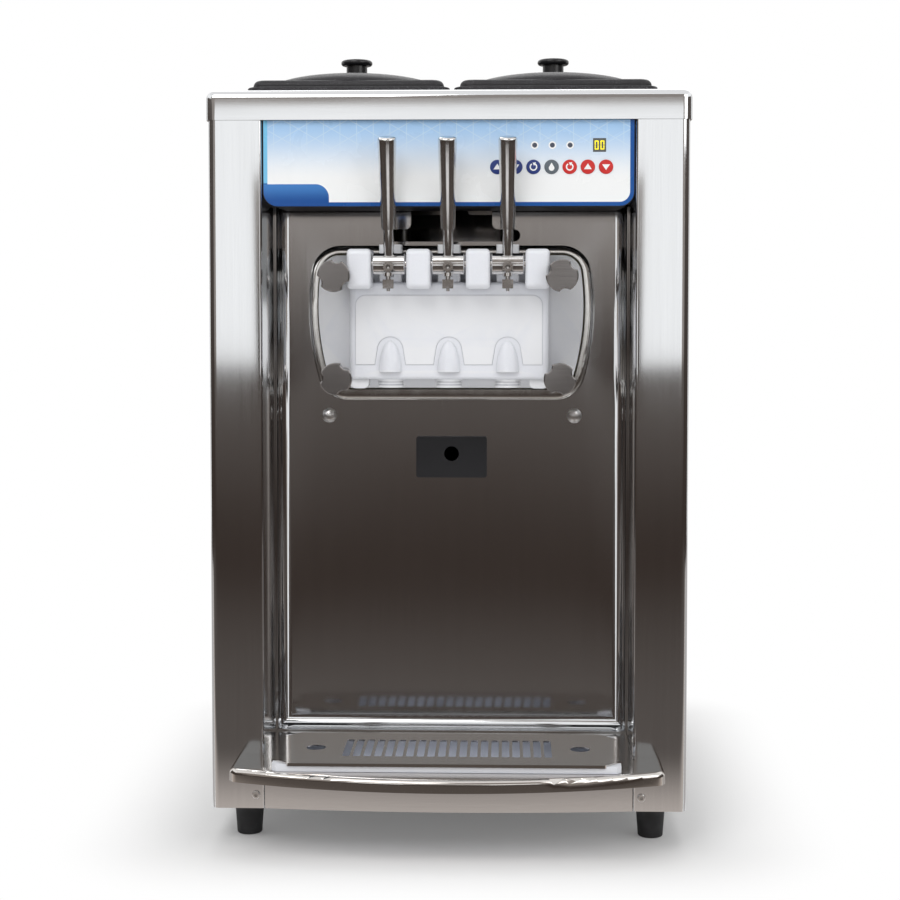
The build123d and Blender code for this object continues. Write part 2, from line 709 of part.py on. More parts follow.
def drip_shelf():
    pillar = FRONT_Y - PANEL_GAP
    low = SHELF_Z - SHELF_SKIRT
    front = extrude(Pos(0, 0, low) * shelf_front(0, pillar), amount=SHELF_SKIRT, dir=(0, 0, 1))
    rim = front.faces().sort_by(Axis.Z)[-1].edges().sort_by(Axis.Y)[:-1]
    front = fillet(rim, SHELF_ROLL)
    room = Pos(0, 0, low) * shelf_front(SHEET, pillar + SHEET)
    room = extrude(room, amount=SHELF_SKIRT - SHEET, dir=(0, 0, 1))
    inner_rim = room.faces().sort_by(Axis.Z)[-1].edges().sort_by(Axis.Y)[:-1]
    front -= fillet(inner_rim, SHELF_ROLL - SHEET)
    half = BAY_X - PANEL_GAP
    shelf = front + block(-half, half, pillar, SPLASH_Y + SHEET, SHELF_Z - SHEET, SHELF_Z)
    return shelf - tray_well(TRAY_HOLE_GAP, SHELF_Z - SHELF_SKIRT, SHELF_Z + SHEET)


# Drip tray, grille and drawer
def drip_tray():
    rim = extrude(tray_outline(0, TRAY_CHAMFER, TRAY_RIM_Z), amount=TRAY_RIM_THICK, dir=(0, 0, 1))
    floor_z = SHELF_Z - TRAY_SINK
    tray = rim + tray_well(0, floor_z, TRAY_RIM_Z)
    return tray - tray_well(-TRAY_WALL, floor_z + TRAY_WALL, TRAY_TOP_Z + TRAY_WALL)


def tray_grille():
    skirt_z = GRILLE_FOOT_Z - GRILLE_SKIRT
    outer = tray_outline(GRILLE_SIDE_GAP + SHEET, GRILLE_CHAMFER, skirt_z)
    inner = tray_outline(GRILLE_SIDE_GAP, TRAY_CHAMFER, skirt_z)
    plate = extrude(outer, amount=GRILLE_SKIRT + SHEET, dir=(0, 0, 1))
    plate -= extrude(inner, amount=GRILLE_SKIRT, dir=(0, 0, 1))
    half_y = GRILLE_SLOT_LENGTH / 2
    half_x = GRILLE_SLOT_WIDTH / 2
    first = -(GRILLE_SLOTS - 1) * GRILLE_PITCH / 2
    cut = soft_block(
        -half_x, half_x, TRAY_Y - half_y, TRAY_Y + half_y,
        skirt_z, GRILLE_TOP_Z + SHEET, Axis.Z, GRILLE_SLOT_ROUND,
    )
    cuts = [Pos(first + index * GRILLE_PITCH, 0, 0) * cut for index in range(GRILLE_SLOTS)]
    for side in SIDES.values():
        x = side * GRILLE_FINGER_X
        cuts.append(rod_z(GRILLE_FINGER_RADIUS, skirt_z, GRILLE_TOP_Z + SHEET, x, TRAY_Y))
    return plate - cuts


def drawer_sleeve():
    half_x = DRAWER_WIDTH / 2 + DRAWER_GAP
    half_z = DRAWER_HEIGHT / 2 + DRAWER_GAP
    rear = SPLASH_BACK_Y + DRAWER_LENGTH + SLEEVE_SPARE
    wall = SLEEVE_WALL
    outer = block(
        -half_x - wall, half_x + wall, SPLASH_BACK_Y, rear + wall,
        DRAWER_Z - half_z - wall, DRAWER_Z + half_z + wall,
    )
    return outer - block(-half_x, half_x, SPLASH_BACK_Y - wall, rear, DRAWER_Z - half_z, DRAWER_Z + half_z)


def drip_drawer():
    face_back = SPLASH_Y - SEAT_GAP
    face_y = face_back - DRAWER_FACE
    half_w = DRAWER_FACE_WIDTH / 2
    half_h = DRAWER_FACE_HEIGHT / 2
    face = soft_block(
        -half_w, half_w, face_y, face_back, DRAWER_Z - half_h, DRAWER_Z + half_h,
        Axis.Y, DRAWER_FACE_ROUND,
    )
    half_x = DRAWER_WIDTH / 2
    half_z = DRAWER_HEIGHT / 2
    rear = SPLASH_BACK_Y + DRAWER_LENGTH
    drawer = face + block(-half_x, half_x, face_back, rear, DRAWER_Z - half_z, DRAWER_Z + half_z)
    drawer -= block(
        -half_x + DRAWER_WALL, half_x - DRAWER_WALL, face_back + DRAWER_WALL, rear - DRAWER_WALL,
        DRAWER_Z - half_z + DRAWER_WALL, DRAWER_Z + half_z + DRAWER_WALL,
    )
    hole_z = DRAWER_Z + DRAWER_HOLE_RISE
    finger = face_back + 2 * DRAWER_WALL
    return drawer - rod_y(DRAWER_HOLE_RADIUS, face_y - DRAWER_WALL, finger, 0, hole_z)


# Screws of the panels
def pillar_screw_place(side):
    return side * (BAY_X + PILLAR_SCREW_INSET), BASE_Z + PILLAR_SCREW_RISE


def panel_screws():
    solids = []
    for side in SIDES.values():
        x, z = side * DOME_X, BARREL_Z - DOME_DROP
        seat = SPLASH_Y - PANEL_GAP
        cap_radius = (DOME_RADIUS ** 2 + DOME_HEIGHT ** 2) / (2 * DOME_HEIGHT)
        ball = Pos(x, seat - DOME_HEIGHT + cap_radius, z) * Sphere(cap_radius)
        dome = ball & rod_y(DOME_RADIUS + DOME_HEIGHT, seat - 2 * DOME_HEIGHT, seat, x, z)
        solids.append(dome + rod_y(DOME_SHANK, seat, seat + DOME_SHANK_LENGTH, x, z))
        x, z = pillar_screw_place(side)
        seat = FRONT_Y - PANEL_GAP
        head = rod_y(PILLAR_SCREW_RADIUS, seat - PILLAR_SCREW_HEAD, seat, x, z)
        head = fillet(head.edges().sort_by(Axis.Y)[0], PILLAR_SCREW_HEAD / 2)
        head += rod_y(PILLAR_SCREW_SHANK, seat, FRONT_Y + PILLAR_SCREW_RISE, x, z)
        socket = rod_y(PILLAR_SCREW_SOCKET, seat - PILLAR_SCREW_HEAD, seat - PILLAR_SCREW_HEAD / 2, x, z)
        solids.append(head - socket)
    return group(solids)


# Control panel
def key_places():
    z = FASCIA_FOOT_Z + KEY_RISE
    first = KEY_LAST_X - (KEY_COUNT - 1) * KEY_PITCH
    return [(first + index * KEY_PITCH, z) for index in range(KEY_COUNT)]


def lamp_places():
    z = FASCIA_FOOT_Z + LAMP_RISE
    return [(LAMP_X + step * LAMP_PITCH, z) for step in (-1, 0, 1)]


def display_block(y0, y1, spare):
    half_x = DISPLAY_WIDTH / 2 + spare
    half_z = DISPLAY_HEIGHT / 2 + spare
    z = FASCIA_FOOT_Z + LAMP_RISE
    return block(DISPLAY_X - half_x, DISPLAY_X + half_x, y0, y1, z - half_z, z + half_z)


def panel_holes(y0, y1):
    cuts = [rod_y(KEY_RADIUS + KEY_GAP, y0, y1, x, z) for x, z in key_places()]
    cuts += [rod_y(LAMP_RADIUS + PANEL_GAP, y0, y1, x, z) for x, z in lamp_places()]
    cuts.append(display_block(y0, y1, PANEL_GAP))
    return cuts


def control_fascia():
    half = FASCIA_X
    rear = FASCIA_Y + FASCIA_DEPTH
    box = block(-half, half, FASCIA_Y, rear, FASCIA_FOOT_Z, PANEL_TOP_Z)
    box = fillet(box.edges().filter_by(Axis.Y).sort_by(Axis.Z)[:2], FASCIA_CORNER)
    room = block(
        -half + FASCIA_SHEET, half - FASCIA_SHEET, FASCIA_BACK_Y, rear + FASCIA_SHEET,
        FASCIA_FOOT_Z + FASCIA_SHEET, PANEL_TOP_Z + FASCIA_SHEET,
    )
    room = fillet(room.edges().filter_by(Axis.Y).sort_by(Axis.Z)[:2], FASCIA_CORNER - FASCIA_SHEET)
    return box - room - panel_holes(FASCIA_Y - FASCIA_SHEET, FASCIA_BACK_Y + FASCIA_SHEET)


def control_overlay():
    plate = block(-OVERLAY_X, OVERLAY_X, OVERLAY_Y, FASCIA_Y, FASCIA_FOOT_Z, FASCIA_TOP_Z)
    plate = fillet(plate.edges().filter_by(Axis.Y).sort_by(Axis.Z)[:2], FASCIA_CORNER)
    return plate - panel_holes(OVERLAY_Y - OVERLAY_THICK, FASCIA_Y + OVERLAY_THICK)


def display_and_lamps():
    solids = [display_block(OVERLAY_Y, OVERLAY_Y + DISPLAY_DEPTH, 0)]
    for x, z in lamp_places():
        solids.append(rod_y(LAMP_RADIUS, OVERLAY_Y, OVERLAY_Y + DISPLAY_DEPTH, x, z))
    return group(solids)


def board_face_y():
    return FASCIA_BACK_Y + KEY_GAP + KEY_COLLAR_THICK + KEY_STEM + KEY_TRAVEL + BOARD_GAP


def control_board():
    face = board_face_y()
    z = FASCIA_FOOT_Z + (KEY_RISE + LAMP_RISE) / 2
    x0, x1 = BOARD_X - BOARD_WIDTH / 2, BOARD_X + BOARD_WIDTH / 2
    z0, z1 = z - BOARD_HEIGHT / 2, z + BOARD_HEIGHT / 2
    board = block(x0, x1, face, face + BOARD_THICK, z0, z1)
    for x in (x0 + BOARD_POST_INSET, x1 - BOARD_POST_INSET):
        for post_z in (z0 + BOARD_POST_INSET, z1 - BOARD_POST_INSET):
            board += rod_y(BOARD_POST_RADIUS, FASCIA_BACK_Y, face, x, post_z)
    return board


def key(x, z):
    collar_y = FASCIA_BACK_Y + KEY_GAP
    collar_back = collar_y + KEY_COLLAR_THICK
    cap = rod_y(KEY_RADIUS, OVERLAY_Y - KEY_PROUD, collar_y, x, z)
    cap = fillet(cap.edges().sort_by(Axis.Y)[0], KEY_PROUD / 2)
    cap += rod_y(KEY_RADIUS + KEY_COLLAR, collar_y, collar_back, x, z)
    return cap + rod_y(KEY_STEM_RADIUS, collar_back, collar_back + KEY_STEM, x, z)


# Hoppers and lids
def hopper(side):
    x = side * HOPPER_X
    outer_width = HOPPER_WIDTH + 2 * HOPPER_WALL
    outer_depth = HOPPER_DEPTH + 2 * HOPPER_WALL
    outer_corner = HOPPER_CORNER + HOPPER_WALL
    rim_corner = outer_corner + HOPPER_RIM_LAP
    seat = COVER_Z + PANEL_GAP
    body = tub(x, HOPPER_Y, outer_width, outer_depth, HOPPER_FOOT_Z, HOPPER_TOP_Z, outer_corner)
    rim = tub(x, HOPPER_Y, RIM_WIDTH, RIM_DEPTH, seat, HOPPER_TOP_Z, rim_corner)
    rim -= tub(
        x, HOPPER_Y, RIM_WIDTH - 2 * HOPPER_WALL, RIM_DEPTH - 2 * HOPPER_WALL,
        seat - HOPPER_WALL, HOPPER_TOP_Z - HOPPER_WALL, rim_corner - HOPPER_WALL,
    )
    body += rim
    body -= tub(
        x, HOPPER_Y, HOPPER_WIDTH, HOPPER_DEPTH, HOPPER_FOOT_Z + HOPPER_WALL,
        HOPPER_TOP_Z + HOPPER_WALL, HOPPER_CORNER,
    )
    hole = rod_z(
        TUBE_RADIUS + TUBE_GAP, HOPPER_FOOT_Z - HOPPER_WALL, HOPPER_FOOT_Z + 2 * HOPPER_WALL,
        side * HANDLE_PITCH, TUBE_Y,
    )
    return body - hole


def lid_cap(x, drop):
    width = LID_WIDTH - 2 * LID_SHOULDER_INSET - 2 * drop
    depth = RIM_DEPTH + 2 * LID_LAP - 2 * LID_SHOULDER_INSET - 2 * drop
    corner = HOPPER_CORNER + HOPPER_WALL + HOPPER_RIM_LAP - LID_SHOULDER_INSET - drop
    top = LID_Z + LID_FLANGE + LID_SHOULDER - drop
    cap = tub(x, HOPPER_Y, width, depth, LID_Z, top, corner)
    cap = fillet(cap.faces().sort_by(Axis.Z)[-1].edges(), LID_SHOULDER_ROUND - drop)
    half_x = width / 2 - LID_DOME_INSET
    half_y = depth / 2 - LID_DOME_INSET
    dome = scale(Sphere(1.0), by=(half_x, half_y, LID_DOME))
    upper = block(-half_x, half_x, -half_y, half_y, 0, LID_DOME)
    return cap + Pos(x, HOPPER_Y, top) * (dome & upper)


def lid(side):
    x = side * HOPPER_X
    width = LID_WIDTH
    depth = RIM_DEPTH + 2 * LID_LAP
    corner = HOPPER_CORNER + HOPPER_WALL + HOPPER_RIM_LAP + LID_LAP
    flange = tub(x, HOPPER_Y, width, depth, LID_Z, LID_Z + LID_FLANGE, corner)
    flange = fillet(flange.faces().sort_by(Axis.Z)[-1].edges(), LID_FLANGE / 3)
    boss = rod_z(LID_BOSS_RADIUS, lid_top() - LID_WALL, lid_top(), x, HOPPER_Y)
    shell = flange + lid_cap(x, 0) + boss
    shell -= lid_cap(x, LID_WALL)
    plug_width = HOPPER_WIDTH - 2 * LID_PLUG_GAP
    plug_depth = HOPPER_DEPTH - 2 * LID_PLUG_GAP
    plug_corner = HOPPER_CORNER - LID_PLUG_GAP
    plug_top = LID_Z + LID_FLANGE
    plug = tub(x, HOPPER_Y, plug_width, plug_depth, LID_Z - LID_PLUG, plug_top, plug_corner)
    plug -= tub(
        x, HOPPER_Y, plug_width - 2 * LID_WALL, plug_depth - 2 * LID_WALL,
        LID_Z - LID_PLUG, plug_top, plug_corner - LID_WALL,
    )
    brim = tub(x, HOPPER_Y, width - 2 * LID_WALL, depth - 2 * LID_WALL, LID_Z, plug_top, corner - LID_WALL)
    brim -= tub(
        x, HOPPER_Y, plug_width - 2 * LID_WALL, plug_depth - 2 * LID_WALL,
        LID_Z, plug_top, plug_corner - LID_WALL,
    )
    return shell + brim + plug


def lid_top():
    return LID_Z + LID_FLANGE + LID_SHOULDER + LID_DOME + LID_BOSS_PROUD


def lid_knob(side):
    x = side * HOPPER_X
    cap_z = lid_top() + KNOB_NECK
    neck = rod_z(KNOB_NECK_RADIUS, lid_top(), cap_z, x, HOPPER_Y)
    cap = rod_z(KNOB_CAP_RADIUS, cap_z, cap_z + KNOB_CAP, x, HOPPER_Y)
    cap = fillet(cap.edges().filter_by(GeomType.CIRCLE), KNOB_ROUND)
    return neck + cap


def mix_feed_tubes():
    foot = BARREL_Z + BARREL_RADIUS + BARREL_WALL + TUBE_GAP
    top = HOPPER_FOOT_Z + TUBE_STAND
    solids = []
    for side in SIDES.values():
        x = side * HANDLE_PITCH
        solids.append(rod_z(TUBE_RADIUS, foot, top, x, TUBE_Y) - rod_z(TUBE_BORE, foot, top, x, TUBE_Y))
    return group(solids)


# Freezing barrels and drive
def freezing_barrels():
    plate_back = FLANGE_Y + FLANGE_THICK
    body = extrude(front_plane(plate_back, BARREL_Z) * door_outline(-FLANGE_MARGIN), FLANGE_THICK)
    for side in SIDES.values():
        x = side * HANDLE_PITCH
        body += rod_y(BARREL_RADIUS + BARREL_WALL, plate_back, BARREL_REAR_Y, x, BARREL_Z)
    for side in SIDES.values():
        x = side * HANDLE_PITCH
        body -= rod_y(BARREL_RADIUS, FLANGE_Y - BARREL_WALL, BARREL_REAR_Y - BARREL_WALL, x, BARREL_Z)
        body -= rod_y(SHAFT_RADIUS + SHAFT_GAP, FLANGE_Y, BARREL_REAR_Y + BARREL_WALL, x, BARREL_Z)
    for x, z in STUD_PLACES.values():
        body += rod_y(STUD_RADIUS, FLANGE_Y - STUD_LENGTH, FLANGE_Y, x, z)
    return body


def barrel_jacket():
    half = JACKET_WIDTH / 2
    rear = SPLASH_BACK_Y + JACKET_LENGTH
    low, high = BARREL_Z - JACKET_DROP, BARREL_Z + JACKET_RISE
    jacket = block(-half, half, SPLASH_BACK_Y, rear, low, high)
    for side in SIDES.values():
        x = side * HANDLE_PITCH
        radius = BARREL_RADIUS + BARREL_WALL + TUBE_GAP
        jacket -= rod_y(radius, SPLASH_BACK_Y - SHEET, rear + SHEET, x, BARREL_Z)
        jacket -= rod_z(TUBE_RADIUS + TUBE_GAP, BARREL_Z, high + SHEET, x, TUBE_Y)
    return jacket


def beater(side):
    x = side * HANDLE_PITCH
    reach = BARREL_RADIUS - BEATER_GAP
    front = FLANGE_Y + BEATER_END_GAP
    rear = BARREL_REAR_Y - BARREL_WALL - BEATER_END_GAP
    shaft_rear = BARREL_REAR_Y + PANEL_GAP + SHAFT_REAR
    body = rod_y(SHAFT_RADIUS, DOOR_BACK_Y - SHAFT_FRONT, shaft_rear, x, BARREL_Z)
    step = (rear - front - BEATER_SPIDER) / (BEATER_SPIDERS - 1)
    half = BEATER_BLADE_WIDTH / 2
    arm = reach - BEATER_BLADE
    for index in range(BEATER_SPIDERS):
        y = front + index * step
        body += block(x - half, x + half, y, y + BEATER_SPIDER, BARREL_Z - arm, BARREL_Z + arm)
    for end in (-1, 1):
        low, high = sorted((end * arm, end * reach))
        blade = block(x - half, x + half, front, rear, BARREL_Z + low, BARREL_Z + high)
        body += blade & rod_y(reach, front, rear, x, BARREL_Z)
    return body


def gear_motors():
    solids = []
    front = BARREL_REAR_Y + PANEL_GAP
    for side in SIDES.values():
        x = side * HANDLE_PITCH
        half = GEARBOX_WIDTH / 2
        low, high = BARREL_Z - GEARBOX_HEIGHT / 2, BARREL_Z + GEARBOX_HEIGHT / 2
        motor = block(x - half, x + half, front, front + GEARBOX_DEPTH, low, high)
        motor_y = front + GEARBOX_DEPTH
        motor += rod_y(MOTOR_RADIUS, motor_y, motor_y + MOTOR_LENGTH, x, BARREL_Z)
        bore_end = front + SHAFT_REAR + SHAFT_RADIUS
        motor -= rod_y(SHAFT_RADIUS + SHAFT_GAP, front, bore_end, x, BARREL_Z)
        solids.append(motor)
    return group(solids)


# Refrigeration on the base pan
def compressor():
    y = FRONT_Y + COMPRESSOR_SETBACK
    foot_z = PAN_TOP_Z + PANEL_GAP
    can_z = foot_z + COMPRESSOR_FOOT
    can = rod_z(COMPRESSOR_RADIUS, can_z, can_z + COMPRESSOR_HEIGHT, COMPRESSOR_X, y)
    can = fillet(can.edges().filter_by(GeomType.CIRCLE), COMPRESSOR_ROUND)
    half = COMPRESSOR_RADIUS
    foot = soft_block(
        COMPRESSOR_X - half, COMPRESSOR_X + half, y - half, y + half, foot_z, can_z,
        Axis.Z, COMPRESSOR_FOOT * 2,
    )
    return can + foot


def condenser():
    half = CONDENSER_WIDTH / 2
    low = PAN_TOP_Z + PANEL_GAP
    high = low + CONDENSER_HEIGHT
    core = block(-half, half, CONDENSER_Y, CONDENSER_REAR_Y, low, high)
    pitch = CONDENSER_WIDTH / CONDENSER_FINS
    cuts = []
    for index in range(CONDENSER_FINS):
        x = -half + (index + 0.5) * pitch
        margin = CONDENSER_FIN_CUT
        cuts.append(
            block(
                x - margin / 2, x + margin / 2, CONDENSER_Y, CONDENSER_REAR_Y,
                low + margin, high - margin,
            )
        )
    shroud = block(-half, half, SHROUD_Y, CONDENSER_Y, low, high)
    throat = rod_y(FAN_RADIUS + FAN_TIP_GAP, SHROUD_Y - SHEET, CONDENSER_Y, 0, FAN_Z)
    return (core - cuts) + (shroud - throat)


def fan_motor():
    motor = rod_y(FAN_MOTOR_RADIUS, FAN_MOTOR_Y, FAN_MOTOR_REAR_Y, 0, FAN_Z)
    motor += rod_y(FAN_SHAFT_RADIUS, FAN_MOTOR_REAR_Y, FAN_Y + FAN_HUB_DEPTH / 2, 0, FAN_Z)
    half = FAN_BRACKET / 2
    foot = PAN_TOP_Z + PANEL_GAP
    strip = block(-half, half, FAN_MOTOR_Y, FAN_MOTOR_Y + FAN_BRACKET_SHEET, foot, FAN_Z)
    sole = block(-half, half, FAN_MOTOR_Y, FAN_MOTOR_REAR_Y, foot, foot + FAN_BRACKET_SHEET)
    return motor + strip + sole


def fan_blade():
    front = FAN_Y - FAN_HUB_DEPTH / 2
    rear = FAN_Y + FAN_HUB_DEPTH / 2
    hub = rod_y(FAN_HUB_RADIUS, front, rear, 0, FAN_Z)
    length = FAN_RADIUS - FAN_HUB_RADIUS / 2
    reach = FAN_RADIUS - length / 2
    for index in range(FAN_BLADES):
        turn = Rot(0, index * 360 / FAN_BLADES, 0)
        vane = Rot(0, 0, FAN_PITCH) * Box(FAN_BLADE_WIDTH, FAN_BLADE_THICK, length)
        hub += Pos(0, FAN_Y, FAN_Z) * turn * Pos(0, 0, reach) * vane
    fan = hub & rod_y(FAN_RADIUS, front - FAN_HUB_DEPTH, rear + FAN_HUB_DEPTH, 0, FAN_Z)
    return fan - rod_y(FAN_SHAFT_RADIUS + FAN_SHAFT_GAP, front - SHEET, rear + SHEET, 0, FAN_Z)


def power_inlet():
    z = BASE_Z + INLET_RISE
    half_x, half_z = INLET_WIDTH / 2, INLET_HEIGHT / 2
    seat = REAR_Y + PANEL_GAP
    rear = seat + INLET_LIP_THICK
    inlet = block(INLET_X - half_x, INLET_X + half_x, REAR_Y - INLET_DEPTH, seat, z - half_z, z + half_z)
    inlet += block(
        INLET_X - half_x - INLET_LIP, INLET_X + half_x + INLET_LIP, seat, rear,
        z - half_z - INLET_LIP, z + half_z + INLET_LIP,
    )
    wall = INLET_SOCKET_WALL
    return inlet - block(
        INLET_X - half_x + wall, INLET_X + half_x - wall, rear - INLET_SOCKET, rear,
        z - half_z + wall, z + half_z - wall,
    )


# Draw door
def door_groove():
    arch = GROOVE_ARCH_HALF
    base = -GROOVE_BOTTOM
    half = GROOVE_HALF
    curves = [Polyline((-half, base), (-half, GROOVE_TOP), (half, GROOVE_TOP), (half, base))]
    for x in HANDLE_PLACES.values():
        left, right = x - GROOVE_NECK_HALF, x + GROOVE_NECK_HALF
        curves.append(Line((x - arch, base), (left, -GROOVE_NECK)))
        curves.append(ThreePointArc((left, -GROOVE_NECK), (x, -GROOVE_ARCH), (right, -GROOVE_NECK)))
        curves.append(Line((right, -GROOVE_NECK), (x + arch, base)))
    edges = sorted(HANDLE_PLACES.values())
    starts = [-half] + [x + arch for x in edges]
    ends = [x - arch for x in edges] + [half]
    for start, end in zip(starts, ends):
        curves.append(Line((start, base), (end, base)))
    outline = make_face([edge for curve in curves for edge in curve.edges()])
    corners = outline.vertices().sort_by(Axis.Y)[-2:]
    outline = fillet(corners, GROOVE_CORNER)
    line = outline - offset(outline, amount=-GROOVE_WIDTH)
    return extrude(front_plane(BOX_Y + GROOVE_DEPTH, BARREL_Z) * line, GROOVE_DEPTH * 2)


def draw_door():
    plate = extrude(front_plane(DOOR_BACK_Y, BARREL_Z) * door_outline(0), DOOR_PLATE)
    box = block(-BOX_HALF, BOX_HALF, BOX_Y, DOOR_PLATE_Y, BOX_FOOT_Z, BOX_TOP_Z)
    uprights = box.edges().filter_by(Axis.Z).sort_by(Axis.Y)[:2]
    box = fillet(uprights, BOX_EDGE)
    box = fillet(box.faces().sort_by(Axis.Y)[0].edges(), BOX_RIM)
    door = plate + box
    for side in SIDES.values():
        x = side * (BOX_HALF - LEG_SIDE_GAP - LEG_HALF)
        front = BOX_Y + LEG_INSET
        rear = front + LEG_DEPTH
        leg = block(x - LEG_HALF, x + LEG_HALF, front, rear, BOX_FOOT_Z - LEG_DROP, BOX_FOOT_Z + BOX_RIM)
        leg = fillet(leg.edges().filter_by(Axis.Y).sort_by(Axis.Z)[:2], LEG_ROUND)
        door += leg
    for step in (-1.5, -0.5, 0.5, 1.5):
        x = step * HANDLE_PITCH
        lug = soft_block(
            x - LUG_WIDTH / 2, x + LUG_WIDTH / 2, PIVOT_Y - LUG_LEAD, BOX_Y + LUG_ROOT,
            PIVOT_Z - LUG_DROP, PIVOT_Z + LUG_RISE, Axis.X, LUG_ROUND,
        )
        door += fillet(lug.faces().sort_by(Axis.Y)[0].edges().filter_by(Axis.Z), LUG_SIDE_ROUND)
    for x in HANDLE_PLACES.values():
        bullet = scale(Sphere(1.0), by=(BULGE_HALF, BULGE_DEPTH, BULGE_HEIGHT))
        upper = block(-BULGE_HALF, BULGE_HALF, -BULGE_DEPTH, BULGE_DEPTH, 0, BULGE_HEIGHT)
        door += Pos(x, BOX_Y + BULGE_SINK, BARREL_Z - BULGE_BOTTOM) * (bullet & upper)
    door -= door_groove()
    for x in HANDLE_PLACES.values():
        bore = PLUNGER_RADIUS + PLUNGER_GAP
        door -= rod_z(bore, BOX_FOOT_Z - BOX_RIM, BOX_TOP_Z + BOX_RIM, x, PLUNGER_Y)
    for side in SIDES.values():
        x = side * HANDLE_PITCH
        back = DOOR_BACK_Y + GASKET_THICK
        door -= rod_y(PASSAGE_RADIUS, PLUNGER_Y, back, x, BARREL_Z - PASSAGE_DROP)
        door -= rod_y(PASSAGE_RADIUS, PLUNGER_Y, back, side * TWIST_X, BARREL_Z - TWIST_DROP)
        door -= rod_y(SHAFT_RADIUS + SHAFT_GAP, DOOR_BACK_Y - SHAFT_FRONT - SEAT_GAP, back, x, BARREL_Z)
    door -= rod_x(PASSAGE_RADIUS, -TWIST_X, TWIST_X, PLUNGER_Y, BARREL_Z - TWIST_DROP)
    lug_end = 2 * HANDLE_PITCH
    door -= rod_x(PIVOT_RADIUS + PIVOT_GAP, -lug_end, lug_end, PIVOT_Y, PIVOT_Z)
    for x, z in STUD_PLACES.values():
        door -= rod_y(STUD_RADIUS + STUD_HOLE_GAP, DOOR_PLATE_Y - GASKET_THICK, FLANGE_Y, x, z)
        door -= rod_y(SCREW_NECK_RADIUS + SCREW_RELIEF, PIVOT_Y - LUG_LEAD, DOOR_PLATE_Y, x, z)
    return door


def door_gaskets():
    solids = []
    for side in SIDES.values():
        x = side * HANDLE_PITCH
        ring = rod_y(BARREL_RADIUS + GASKET_WIDTH, DOOR_BACK_Y, FLANGE_Y, x, BARREL_Z)
        solids.append(ring - rod_y(BARREL_RADIUS, DOOR_BACK_Y, FLANGE_Y, x, BARREL_Z))
    return group(solids)


def hand_screw(x, z, turn):
    seat = DOOR_PLATE_Y - SEAT_GAP
    head_back = PIVOT_Y - LUG_LEAD - SCREW_LUG_GAP
    head_front = head_back - SCREW_HEAD
    head = rod_y(SCREW_RADIUS, head_front, head_back, x, z)
    reach = SCREW_RADIUS - SCALLOP_DEPTH + SCALLOP_RADIUS
    for index in range(3):
        angle = math.radians(turn + index * 120)
        cut_x = x + reach * math.cos(angle)
        cut_z = z + reach * math.sin(angle)
        head -= rod_y(SCALLOP_RADIUS, head_front - SCREW_EDGE, head_back + SCREW_EDGE, cut_x, cut_z)
    head = chamfer(head.faces().sort_by(Axis.Y)[0].edges(), SCREW_EDGE)
    screw = head + rod_y(SCREW_NECK_RADIUS, head_back, seat, x, z)
    bore_end = FLANGE_Y - STUD_LENGTH - SCREW_BORE_SPARE
    return screw - rod_y(STUD_RADIUS + SCREW_GAP, bore_end, seat + SCREW_EDGE, x, z)


def outlet_nozzles():
    foot = BOX_FOOT_Z - NOZZLE_HEIGHT
    solids = []
    for x in HANDLE_PLACES.values():
        ring = rod_z(NOZZLE_RADIUS, foot, BOX_FOOT_Z, x, PLUNGER_Y)
        for share in (1, 2):
            z = foot + share * NOZZLE_HEIGHT / 3
            band = rod_z(NOZZLE_RADIUS, z - NOZZLE_GROOVE / 2, z + NOZZLE_GROOVE / 2, x, PLUNGER_Y)
            band -= rod_z(NOZZLE_RADIUS - NOZZLE_GROOVE, foot, BOX_FOOT_Z, x, PLUNGER_Y)
            ring -= band
        points = []
        for index in range(2 * STAR_POINTS):
            radius = STAR_TIP if index % 2 == 0 else NOZZLE_BORE
            angle = math.pi * index / STAR_POINTS
            points.append((x + radius * math.cos(angle), PLUNGER_Y + radius * math.sin(angle)))
        star = make_face(Polyline(*points, close=True))
        solids.append(ring - extrude(Pos(0, 0, foot) * star, amount=NOZZLE_HEIGHT, dir=(0, 0, 1)))
    return group(solids)


def draw_plunger(x):
    half_x = HEAD_WIDTH / 2
    half_y = HEAD_DEPTH / 2
    tip = BOX_FOOT_Z + PLUNGER_TIP_GAP
    rod = rod_z(PLUNGER_RADIUS, tip, HEAD_FOOT_Z, x, PLUNGER_Y)
    head = soft_block(
        x - half_x, x + half_x, PLUNGER_Y - half_y, PLUNGER_Y + half_y,
        HEAD_FOOT_Z, HEAD_TOP_Z, Axis.Z, HEAD_ROUND,
    )
    reach = FINGER_BALL + FINGER_GAP
    slot_end = PIVOT_Y + FINGER_LENGTH + reach + FINGER_GAP
    head -= block(
        x - reach, x + reach, PLUNGER_Y - HEAD_DEPTH, slot_end, FINGER_TIP_Z - reach, FINGER_TIP_Z + reach
    )
    return rod + head


# Levers
def pivot_rod():
    half = 1.5 * HANDLE_PITCH + LUG_WIDTH / 2
    return rod_x(PIVOT_RADIUS, -half, half, PIVOT_Y, PIVOT_Z)


def lever_axis(x):
    return Pos(x, PIVOT_Y, PIVOT_Z) * Rot(LEVER_LEAN, 0, 0)


